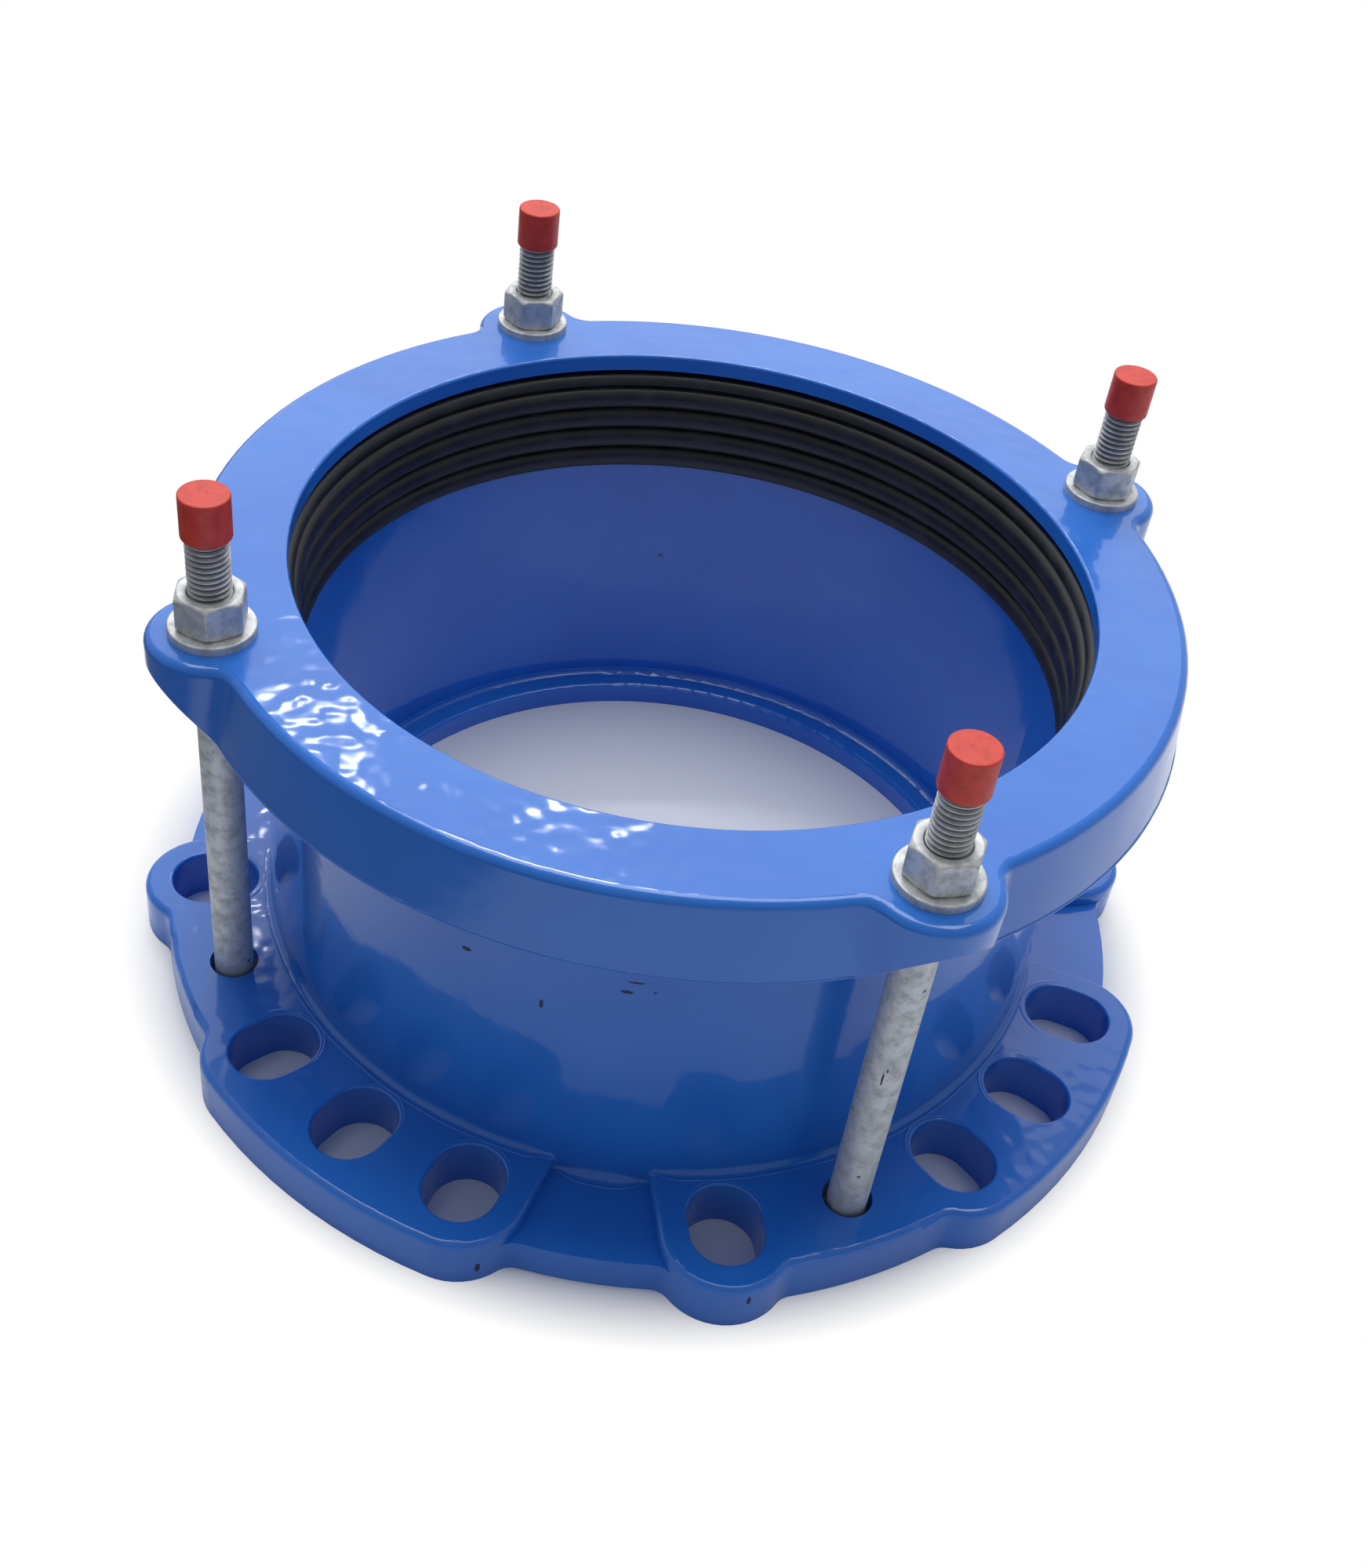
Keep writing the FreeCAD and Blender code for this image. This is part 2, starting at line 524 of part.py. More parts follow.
def make_gland_ring():
    """Cast clamping ring with a skirt round the bell and a lug at each tie bolt."""
    body = new_body("gland_ring")
    lip = "(bore_radius - gland_lip_clearance)"
    lug_end = "(bolt_circle_radius + lug_radius)"
    outside = new_sketch(body, "skirt_section", "XZ_Plane")
    draw_polygon(outside, [
        ("0", "skirt_edge"),
        (SKIRT_RADIUS, "skirt_edge"),
        (GLAND_RADIUS, "gland_top"),
        ("0", "gland_top"),
    ])
    revolve(body, "skirt", outside)

    lug_outline = new_sketch(body, "lug_outline", "XY_Plane", height="skirt_edge", turn="bolt_angle")
    draw_circle(lug_outline, "bolt_circle_radius", "0", "lug_radius")
    lug = extrude(body, "lug", lug_outline, "gland_top - skirt_edge")
    repeat(body, "lugs", [lug], "bolt_count")
    slope = f"(lug_slope_height - skirt_edge) / ({lug_end} - {SKIRT_RADIUS})"
    underside = new_sketch(body, "underside_section", "XZ_Plane")
    draw_polygon(underside, [
        (SKIRT_RADIUS, "skirt_edge"),
        (f"{lug_end} + lug_blend", "skirt_edge"),
        (f"{lug_end} + lug_blend", f"lug_slope_height + lug_blend * {slope}"),
    ])
    revolve(body, "lug_undersides", underside, cut=True)
    skirt_top = value_of(GLAND_RADIUS)
    skirt_foot = value_of(SKIRT_RADIUS)
    dress(body, "lug_blends", lambda edge: is_upright(edge)
          and skirt_top - NEAR < reach(edge) < skirt_foot + NEAR, "lug_blend")
    dress(body, "upper_edges", lambda edge: lies_at(edge, "gland_top"), "gland_edge_round")

    inside = new_sketch(body, "cavity_section", "XZ_Plane")
    draw_polygon(inside, [
        ("0", "skirt_edge"),
        (f"{BELL_RADIUS} + skirt_gap", "skirt_edge"),
        (f"{BELL_RADIUS} + ceiling_reach", "gland_ceiling"),
        ("bore_radius + bell_lean", "gland_ceiling"),
        (lip, "gland_top - gland_lip_height"),
        (lip, "gland_top"),
        ("0", "gland_top"),
    ])
    revolve(body, "cavity", inside, cut=True)
    hole_outline = new_sketch(body, "bolt_hole_outline", "XY_Plane", turn="bolt_angle")
    draw_circle(hole_outline, "bolt_circle_radius", "0", "bolt_hole / 2")
    hole = drill(body, "bolt_hole", hole_outline)
    repeat(body, "bolt_holes", [hole], "bolt_count")
    dress(body, "bore_edge", lambda edge: lies_at(edge, "gland_top")
          and near(reach(edge), value_of(lip)), "gland_bore_round")


def make_gasket_ring():
    """Rubber ring with a wedge back, ridges inside and a rounded lobe under the gland."""
    body = new_body("gasket_ring")
    crest = f"({PIPE_RADIUS} + pipe_clearance)"
    wall = f"({crest} + ridge_height)"
    lobe = f"({crest} + shoulder_step)"
    foot = "(bell_floor - gasket_seat_gap)"
    ridges_top = f"({foot} + ridge_count * ridge_pitch)"
    gland_seat = "(gland_top - gland_lip_height - gasket_gland_gap)"
    section = new_sketch(body, "ring_section", "XZ_Plane")
    draw_polygon(section, [
        (wall, foot),
        ("bore_radius - gasket_seat_gap", foot),
        ("bore_radius - gasket_seat_gap", "bell_floor"),
        ("bore_radius + bell_lean - gasket_seat_gap", "bell_top"),
        ("bore_radius + bell_lean - gasket_seat_gap", "gland_ceiling - gasket_gland_gap"),
        (lobe, gland_seat),
        (lobe, f"{ridges_top} + shoulder_step"),
        (wall, ridges_top),
    ])
    revolve(body, "ring", section)
    ridge_section = new_sketch(body, "ridge_section", "XZ_Plane")
    draw_ridge(ridge_section, crest, "(bore_radius - gasket_seat_gap)", "ridge_height",
               f"({foot} + ridge_pitch / 2)", "ridge_land")
    ridge = revolve(body, "ridge", ridge_section)
    stack(body, "ridges", [ridge], "(ridge_count - 1) * ridge_pitch", "ridge_count")
    dress(body, "lobe_edge", lambda edge: lies_at(edge, gland_seat)
          and near(reach(edge), value_of(lobe)), "shoulder_round")


def place_on_bolt(body, number, turn=None):
    """Move a piece to its tie bolt and turn it, with the bolt's own angle or with another."""
    angle = f"(bolt_angle + {number - 1} * 360 / bolt_count)"
    turn = turn or angle
    body.Placement = Placement(Vector(), Rotation(Vector(0, 0, 1), value_of(turn)))
    bind(body, "Placement.Base.x", f"bolt_circle_radius * cos({angle})")
    bind(body, "Placement.Base.y", f"bolt_circle_radius * sin({angle})")
    bind(body, "Placement.Rotation.Angle", turn)


def chamfer_corners(body, name, end, away):
    """Turn the corners of a hexagon down to a cone at one of its ends."""
    corner = "(hex_flats / sqrt(3) + hex_flats / 20)"
    drop = f"({corner} - hex_flats / 2) * tan(hex_chamfer_angle)"
    section = new_sketch(body, f"{name}_section", "XZ_Plane")
    draw_polygon(section, [
        ("hex_flats / 2", end),
        (corner, end),
        (corner, f"{end} {away} {drop}"),
    ])
    revolve(body, name, section, cut=True)


def make_stud_bolt(number):
    """Tie bolt: a hexagon head in the flange, a plain shank and a threaded end."""
    body = new_body(f"stud_bolt_{number}")
    tip = "(head_recess + bolt_length)"
    head_outline = new_sketch(body, "head_outline", "XY_Plane", height="head_recess - head_height")
    draw_hexagon(head_outline, "hex_flats")
    extrude(body, "head", head_outline, "head_height")
    chamfer_corners(body, "head_chamfer", "(head_recess - head_height)", "+")
    section = new_sketch(body, "shank_section", "XZ_Plane")
    draw_polygon(section, [
        ("0", "head_recess"),
        ("bolt_diameter / 2", "head_recess"),
        ("bolt_diameter / 2", f"{tip} - thread_length"),
        ("thread_radius", f"{tip} - thread_length"),
        ("thread_radius", f"{tip} - thread_chamfer"),
        ("thread_radius - thread_chamfer", tip),
        ("0", tip),
    ])
    revolve(body, "shank", section)
    place_on_bolt(body, number)


def make_washer(number):
    """Flat washer between a nut and the gland."""
    body = new_body(f"washer_{number}")
    top = "(gland_top + washer_thickness)"
    section = new_sketch(body, "washer_section", "XZ_Plane")
    draw_polygon(section, [
        ("washer_bore / 2", "gland_top"),
        ("washer_diameter / 2", "gland_top"),
        ("washer_diameter / 2", top),
        ("washer_bore / 2", top),
    ])
    revolve(body, "disc", section)
    dress(body, "edge", lambda edge: lies_at(edge, top) and near(reach(edge), value_of("washer_diameter / 2")),
          "washer_edge_round")
    place_on_bolt(body, number)


def make_hex_nut(number):
    """Hexagon nut, chamfered at both ends."""
    body = new_body(f"hex_nut_{number}")
    seat = "(gland_top + washer_thickness)"
    outline = new_sketch(body, "nut_outline", "XY_Plane", height=seat)
    draw_hexagon(outline, "hex_flats")
    extrude(body, "nut", outline, "nut_height")
    chamfer_corners(body, "lower_chamfer", seat, "+")
    chamfer_corners(body, "upper_chamfer", f"({seat} + nut_height)", "-")
    bore = new_sketch(body, "nut_bore_outline", "XY_Plane")
    draw_circle(bore, "0", "0", "thread_radius + nut_clearance")
    drill(body, "nut_bore", bore)
    place_on_bolt(body, number, f"nut_turn_{number}")


def make_thread_cap(number):
    """Plastic cap on a tie bolt's end."""
    body = new_body(f"thread_cap_{number}")
    bore = "(thread_radius + cap_clearance)"
    ceiling = "(head_recess + bolt_length + cap_gap)"
    top = f"({ceiling} + cap_top)"
    mouth = f"({top} - cap_length)"
    outside = f"({bore} + cap_wall)"
    section = new_sketch(body, "cap_section", "XZ_Plane")
    draw_polygon(section, [
        (bore, mouth),
        (outside, mouth),
        (outside, top),
        ("0", top),
        ("0", ceiling),
        (bore, ceiling),
    ])
    revolve(body, "sleeve", section)
    dress(body, "end_edge", lambda edge: lies_at(edge, top) and near(reach(edge), value_of(outside)),
          "cap_edge_round")
    dress(body, "mouth_edge", lambda edge: lies_at(edge, mouth) and near(reach(edge), value_of(outside)),
          "cap_mouth_round")
    place_on_bolt(body, number)


def check_model():
    """Stop if a feature failed or a sub-part has no sound shape."""
    for item in doc.Objects:
        if "Invalid" in item.State or "Error" in item.State:
            raise RuntimeError(f"{item.Name} failed: {item.State}")
    for body in subparts:
        if body.Shape.isNull() or not body.Shape.isValid():
            raise RuntimeError(f"{body.Label} has no sound shape")


make_flange_body()
make_gland_ring()
make_gasket_ring()
for bolt in BOLTS:
    make_stud_bolt(bolt)
    make_washer(bolt)
    make_hex_nut(bolt)
    make_thread_cap(bolt)
doc.recompute()
check_model()
os.makedirs("parts", exist_ok=True)
for body in subparts:
    body.Shape.exportStep(f"parts/{body.Label}.step")
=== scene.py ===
"""Looks of a universal flange adaptor: blue epoxy coated castings, a ridged rubber gasket, zinc flake
coated tie bolts, washers and nuts, and red plastic thread caps.

Sizes in the classes are millimetres and angles degrees, as a maker writes them, unless a comment says
otherwise. Meshes are metres, in the frame's own axes.
"""
import logging
import math
from dataclasses import dataclass
from enum import Enum
from typing import Sequence

import bmesh
import bpy
from mathutils import Matrix, Vector

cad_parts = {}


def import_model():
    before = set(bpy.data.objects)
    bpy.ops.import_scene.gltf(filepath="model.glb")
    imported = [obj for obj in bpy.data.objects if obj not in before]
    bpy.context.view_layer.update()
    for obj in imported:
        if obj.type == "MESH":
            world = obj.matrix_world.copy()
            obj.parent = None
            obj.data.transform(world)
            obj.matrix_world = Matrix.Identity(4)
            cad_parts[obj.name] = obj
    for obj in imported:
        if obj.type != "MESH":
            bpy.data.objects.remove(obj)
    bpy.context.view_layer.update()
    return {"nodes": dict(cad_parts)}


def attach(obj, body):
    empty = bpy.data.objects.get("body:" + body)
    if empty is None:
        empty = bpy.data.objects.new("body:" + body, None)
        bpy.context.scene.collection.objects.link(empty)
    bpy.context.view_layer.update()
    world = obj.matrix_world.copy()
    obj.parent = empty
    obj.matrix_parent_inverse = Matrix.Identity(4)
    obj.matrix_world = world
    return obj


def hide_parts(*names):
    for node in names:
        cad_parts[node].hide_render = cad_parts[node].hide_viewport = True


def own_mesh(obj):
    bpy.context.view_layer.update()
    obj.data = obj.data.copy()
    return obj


LOG = logging.getLogger("flange_adaptor")
MM = 0.001
WHITE = "#FFFFFF"
# Name of the attribute that tells how deep a point lies in a thread.
GROOVE = "groove"

BOLTS = (1, 2, 3, 4)
QUARTERS = (0, 1, 2, 3)
QUARTER = 90.0
BOLT_CIRCLE = 145.5
BOLT_ANGLE = 15.0
SHANK_RADIUS = 6.0
BARREL_RADIUS = 129.0
# Radius of the pinhole that a turned surface keeps on its axis.
PINHOLE = 0.01

# Sockets of a mix of colours, which share their names with those of other kinds of mix.
MIX_COLOURS = {"data_type": "RGBA"}
MIX_SHARE = 0
MIX_FIRST = 6
MIX_SECOND = 7
MIX_RESULT = 2

Point = tuple[float, float]
Ring = list[tuple[float, float, float]]
Shape = tuple[list[tuple[float, float, float]], list[tuple[int, ...]]]
Tree = bpy.types.NodeTree
Socket = bpy.types.NodeSocket


class Slot(Enum):
    """Material slots of the part's record that pieces of this scene name."""

    CASTING = "epoxy_casting"
    GASKET = "gasket_rubber"
    BOLT = "zinc_flake_bolt"
    NUT = "zinc_flake_nut"
    CAP = "red_cap_plastic"


def hex_colour(code: str) -> tuple[float, float, float, float]:
    """Turn an sRGB hex colour to linear light.

    Args:
        code: The colour, such as "#1F55B0".

    Returns:
        Red, green, blue and alpha in linear light.
    """
    values = [int(code[place:place + 2], 16) / 255 for place in (1, 3, 5)]
    linear = [v / 12.92 if v <= 0.04045 else ((v + 0.055) / 1.055) ** 2.4 for v in values]
    return (*linear, 1.0)


def add_node(tree: Tree, kind: str, settings: dict | None = None,
             inputs: dict | None = None) -> bpy.types.Node:
    """Add a shader node with its settings, and set or link its inputs.

    Args:
        tree: The tree that gets the node.
        kind: The node's type name.
        settings: Attributes of the node.
        inputs: Input name or index to a value, or to the output socket that feeds it.

    Returns:
        The new node.
    """
    node = tree.nodes.new(kind)
    for name, value in (settings or {}).items():
        setattr(node, name, value)
    for name, value in (inputs or {}).items():
        if isinstance(value, Socket):
            tree.links.new(value, node.inputs[name])
        else:
            node.inputs[name].default_value = value
    return node


@dataclass(frozen=True)
class Cloud:
    """Cloudy pattern fixed to a piece: its real size, the number of its finer octaves and their strength."""

    size: float
    detail: float = 2.0
    roughness: float = 0.5

    def level(self, tree: Tree) -> Socket:
        """Add the pattern to a tree, as a level between 0 and 1."""
        place = add_node(tree, "ShaderNodeTexCoord").outputs["Object"]
        return add_node(tree, "ShaderNodeTexNoise", None, {
            "Vector": place, "Scale": 1.0 / (self.size * MM),
            "Detail": self.detail, "Roughness": self.roughness,
        }).outputs["Fac"]

    def share(self, tree: Tree, span: Point, most: float = 1.0) -> Socket:
        """Add the pattern with a span of its levels stretched to a share.

        Args:
            tree: The tree that gets the nodes.
            span: The levels that become no share and the whole of it.
            most: The whole share.

        Returns:
            The share, from 0 to its most.
        """
        return add_node(tree, "ShaderNodeMapRange", {"clamp": True}, {
            "Value": self.level(tree), "From Min": span[0], "From Max": span[1], "To Max": most,
        }).outputs["Result"]

    def relief(self, tree: Tree, depth: float, under: Socket | None = None,
               strength: Socket | float = 1.0) -> Socket:
        """Add the pattern as a relief of the surface.

        Args:
            tree: The tree that gets the nodes.
            depth: Height between the lowest and the highest level.
            under: Normal of the relief that this one lies on.
            strength: Share of the relief that is used.

        Returns:
            The normal of the relief.
        """
        inputs = {"Height": self.level(tree), "Distance": depth * MM, "Strength": strength}
        if under is not None:
            inputs["Normal"] = under
        return add_node(tree, "ShaderNodeBump", None, inputs).outputs["Normal"]


class Finish:
    """Finish of a real material. Each kind says what its surface is made of."""

    name: str

    def surface(self, tree: Tree) -> Socket:
        """Add the nodes of the surface to a tree."""
        raise NotImplementedError

    def make(self) -> bpy.types.Material:
        """Build the material.

        Returns:
            The material.
        """
        material = bpy.data.materials.new(self.name)
        material.use_nodes = True
        tree = material.node_tree
        tree.nodes.clear()
        add_node(tree, "ShaderNodeOutputMaterial", None, {"Surface": self.surface(tree)})
        return material


@dataclass(frozen=True)
class EpoxyCoat(Finish):
    """Fusion bonded epoxy on ductile iron, dipped hot: thick, glossy and rippled where it ran."""

    name: str = "blue_fusion_bonded_epoxy"
    colour: str = "#2171D1"
    # The powder flows out unevenly, which shows as a slow change of tone over a few centimetres.
    deep: str = "#1E6ACA"
    tone: Cloud = Cloud(45.0)
    tone_span: Point = (0.35, 0.65)
    # The coat sags and ripples where it ran, and its powder leaves a fine orange peel.
    sag: Cloud = Cloud(17.0, 0.0)
    sag_depth: float = 0.26
    ripple: Cloud = Cloud(5.0, 0.0)
    ripple_depth: float = 0.19
    peel: Cloud = Cloud(3.0, 0.0)
    peel_depth: float = 0.012
    # Upright walls keep a share of the ripples. It grows to the whole over a span of level facing.
    upright_ripple: float = 0.3
    level_span: Point = (0.5, 0.95)
    # Pinhole chips show the dark iron: the spacing, the reach as a share of it, and the share of the
    # reach that is bare throughout. Their edges are as ragged as a swirl shakes them.
    chip: str = "#1B2536"
    chip_spacing: float = 46.0
    chip_reach: float = 0.032
    chip_core: float = 0.7
    swirl_size: float = 1.2
    swirl_shift: float = 1.6
    # The colour layer is satin, and the gloss is a clear film over it.
    roughness: float = 0.38
    ior: float = 1.45
    specular: float = 0.25
    gloss: float = 0.085
    gloss_ior: float = 1.5

    def surface(self, tree: Tree) -> Socket:
        """Add the coat to a tree.

        Args:
            tree: The tree that gets the nodes.

        Returns:
            The shader's output.
        """
        toned = add_node(tree, "ShaderNodeMix", MIX_COLOURS, {
            MIX_SHARE: self.tone.share(tree, self.tone_span),
            MIX_FIRST: hex_colour(self.deep), MIX_SECOND: hex_colour(self.colour),
        }).outputs[MIX_RESULT]
        colour = add_node(tree, "ShaderNodeMix", MIX_COLOURS, {
            MIX_SHARE: self.chipped(tree), MIX_FIRST: toned, MIX_SECOND: hex_colour(self.chip),
        }).outputs[MIX_RESULT]
        facing = add_node(tree, "ShaderNodeSeparateXYZ", None, {
            0: add_node(tree, "ShaderNodeNewGeometry").outputs["True Normal"],
        }).outputs["Z"]
        rippled = add_node(tree, "ShaderNodeMapRange", {"clamp": True}, {
            "Value": facing, "From Min": self.level_span[0], "From Max": self.level_span[1],
            "To Min": self.upright_ripple, "To Max": 1.0,
        }).outputs["Result"]
        sag = self.sag.relief(tree, self.sag_depth)
        ripple = self.ripple.relief(tree, self.ripple_depth, sag, rippled)
        peel = self.peel.relief(tree, self.peel_depth, ripple)
        return add_node(tree, "ShaderNodeBsdfPrincipled", None, {
            "Base Color": colour, "Normal": sag,
            "Roughness": self.roughness, "IOR": self.ior, "Specular IOR Level": self.specular,
            "Coat Weight": 1.0, "Coat Normal": peel, "Coat Roughness": self.gloss, "Coat IOR": self.gloss_ior,
        }).outputs[0]

    def chipped(self, tree: Tree) -> Socket:
        """Add the chips, at most one to a cell of their spacing.

        Args:
            tree: The tree that gets the nodes.

        Returns:
            The share of bare iron.
        """
        place = add_node(tree, "ShaderNodeTexCoord").outputs["Object"]
        swirl = add_node(tree, "ShaderNodeTexNoise", None, {
            "Vector": place, "Scale": 1.0 / (self.swirl_size * MM), "Detail": 2.0,
        }).outputs["Color"]
        shift = add_node(tree, "ShaderNodeVectorMath", {"operation": "SCALE"}, {
            0: swirl, "Scale": self.swirl_shift * MM,
        }).outputs[0]
        ragged = add_node(tree, "ShaderNodeVectorMath", {"operation": "ADD"}, {0: place, 1: shift}).outputs[0]
        cell = add_node(tree, "ShaderNodeTexVoronoi", None, {
            "Vector": ragged, "Scale": 1.0 / (self.chip_spacing * MM), "Randomness": 1.0,
        }).outputs["Distance"]
        return add_node(tree, "ShaderNodeMapRange", {"clamp": True}, {
            "Value": cell, "From Min": self.chip_reach, "From Max": self.chip_reach * self.chip_core,
        }).outputs["Result"]


@dataclass(frozen=True)
class ZincFlake(Finish):
    """Zinc flake coat on steel, dipped and spun: matt pale grey, finely specked, rubbed darker in patches."""

    name: str = "zinc_flake_steel"
    pale: str = "#D6D7D6"
    dark: str = "#ACAEAE"
    patches: Cloud = Cloud(4.0, 4.0, 0.65)
    patch_span: Point = (0.42, 0.66)
    # Real flakes are hundredths of a millimetre wide. They are drawn as coarse as they need to show, as
    # specks of painted glint.
    glint: str = "#D9DAD9"
    specks: Cloud = Cloud(0.45)
    speck_span: Point = (0.40, 0.62)
    speck_share: float = 0.35
    grain: Cloud = Cloud(0.45, 3.0)
    grain_depth: float = 0.03
    # Painted shade in the grooves of a thread: the deeper a point lies, the more of this darker grey it gets.
    groove_shade: str = "#7B7C7D"
    # A few dark rubbed marks: their spacing, and where they fade and are full as shares of it.
    mark: str = "#6C6A68"
    mark_spacing: float = 11.0
    mark_fade: float = 0.07
    mark_full: float = 0.04
    metallic: float = 0.55
    roughness: float = 0.5
    rubbed_roughness: float = 0.65

    def surface(self, tree: Tree) -> Socket:
        """Add the coated steel to a tree.

        Args:
            tree: The tree that gets the nodes.

        Returns:
            The shader's output.
        """
        place = add_node(tree, "ShaderNodeTexCoord").outputs["Object"]
        patches = self.patches.share(tree, self.patch_span)
        groove = add_node(tree, "ShaderNodeAttribute", {"attribute_name": GROOVE}).outputs["Fac"]
        cell = add_node(tree, "ShaderNodeTexVoronoi", None, {
            "Vector": place, "Scale": 1.0 / (self.mark_spacing * MM), "Randomness": 1.0,
        }).outputs["Distance"]
        mark = add_node(tree, "ShaderNodeMapRange", {"clamp": True}, {
            "Value": cell, "From Min": self.mark_fade, "From Max": self.mark_full,
        }).outputs["Result"]
        colour = hex_colour(self.pale)
        for share, code in (
            (patches, self.dark),
            (self.specks.share(tree, self.speck_span, self.speck_share), self.glint),
            # Painted shade: the thread's grooves are painted darker, the deeper the darker.
            (groove, self.groove_shade),
            (mark, self.mark),
        ):
            colour = add_node(tree, "ShaderNodeMix", MIX_COLOURS, {
                MIX_SHARE: share, MIX_FIRST: colour, MIX_SECOND: hex_colour(code),
            }).outputs[MIX_RESULT]
        roughness = add_node(tree, "ShaderNodeMapRange", {"clamp": True}, {
            "Value": patches, "To Min": self.roughness, "To Max": self.rubbed_roughness,
        }).outputs["Result"]
        return add_node(tree, "ShaderNodeBsdfPrincipled", None, {
            "Base Color": colour, "Metallic": self.metallic, "Roughness": roughness,
            "Normal": self.grain.relief(tree, self.grain_depth),
        }).outputs[0]


@dataclass(frozen=True)
class GasketRubber(Finish):
    """Moulded EPDM rubber: near black and satin, with a faint bloom."""

    name: str = "epdm_rubber"
    colour: str = "#17181B"
    bloom: str = "#26282C"
    bloom_cloud: Cloud = Cloud(9.0, 4.0)
    bloom_span: Point = (0.42, 0.7)
    # The mould's own finish, coarser than the real one so that it shows.
    skin: Cloud = Cloud(0.6)
    skin_depth: float = 0.012
    ior: float = 1.5
    roughness: float = 0.42
    bloom_roughness: float = 0.54

    def surface(self, tree: Tree) -> Socket:
        """Add the rubber to a tree.

        Args:
            tree: The tree that gets the nodes.

        Returns:
            The shader's output.
        """
        bloom = self.bloom_cloud.share(tree, self.bloom_span)
        colour = add_node(tree, "ShaderNodeMix", MIX_COLOURS, {
            MIX_SHARE: bloom, MIX_FIRST: hex_colour(self.colour), MIX_SECOND: hex_colour(self.bloom),
        }).outputs[MIX_RESULT]
        roughness = add_node(tree, "ShaderNodeMapRange", {"clamp": True}, {
            "Value": bloom, "To Min": self.roughness, "To Max": self.bloom_roughness,
        }).outputs["Result"]
        return add_node(tree, "ShaderNodeBsdfPrincipled", None, {
            "Base Color": colour, "IOR": self.ior, "Roughness": roughness,
            "Normal": self.skin.relief(tree, self.skin_depth),
        }).outputs[0]


@dataclass(frozen=True)
class CapPlastic(Finish):
    """Soft moulded PVC: saturated red, with a waxy surface that light enters a little."""

    name: str = "red_soft_pvc"
    colour: str = "#D63C2B"
    worn: str = "#C4321F"
    wear: Cloud = Cloud(3.0, 3.0)
    wear_span: Point = (0.4, 0.65)
    skin: Cloud = Cloud(0.9)
    skin_depth: float = 0.03
    ior: float = 1.53
    roughness: float = 0.48
    # How much of the light goes through the skin, and how far its red, green and blue reach.
    depth_share: float = 0.08
    depth_reach: tuple[float, float, float] = (1.6, 0.5, 0.3)

    def surface(self, tree: Tree) -> Socket:
        """Add the plastic to a tree.

        Args:
            tree: The tree that gets the nodes.

        Returns:
            The shader's output.
        """
        colour = add_node(tree, "ShaderNodeMix", MIX_COLOURS, {
            MIX_SHARE: self.wear.share(tree, self.wear_span),
            MIX_FIRST: hex_colour(self.colour), MIX_SECOND: hex_colour(self.worn),
        }).outputs[MIX_RESULT]
        return add_node(tree, "ShaderNodeBsdfPrincipled", None, {
            "Base Color": colour, "IOR": self.ior, "Roughness": self.roughness,
            "Normal": self.skin.relief(tree, self.skin_depth),
            "Subsurface Weight": self.depth_share, "Subsurface Scale": 1.0,
            "Subsurface Radius": tuple(reach * MM for reach in self.depth_reach),
        }).outputs[0]


@dataclass(frozen=True)
class BareIron(Finish):
    """Ductile iron laid bare where the coat is chipped: near black, dull and grainy."""

    name: str = "bare_ductile_iron"
    colour: str = "#1C2638"
    rust: str = "#2E3A52"
    # The iron's real grain is finer, and is drawn as coarse as it needs to show.
    grain: Cloud = Cloud(0.5, 3.0)
    grain_span: Point = (0.4, 0.6)
    pits: Cloud = Cloud(0.3)
    pit_depth: float = 0.04
    roughness: float = 0.65

    def surface(self, tree: Tree) -> Socket:
        """Add the iron to a tree.

        Args:
            tree: The tree that gets the nodes.

        Returns:
            The shader's output.
        """
        colour = add_node(tree, "ShaderNodeMix", MIX_COLOURS, {
            MIX_SHARE: self.grain.share(tree, self.grain_span),
            MIX_FIRST: hex_colour(self.colour), MIX_SECOND: hex_colour(self.rust),
        }).outputs[MIX_RESULT]
        return add_node(tree, "ShaderNodeBsdfPrincipled", None, {
            "Base Color": colour, "Roughness": self.roughness,
            "Normal": self.pits.relief(tree, self.pit_depth),
        }).outputs[0]


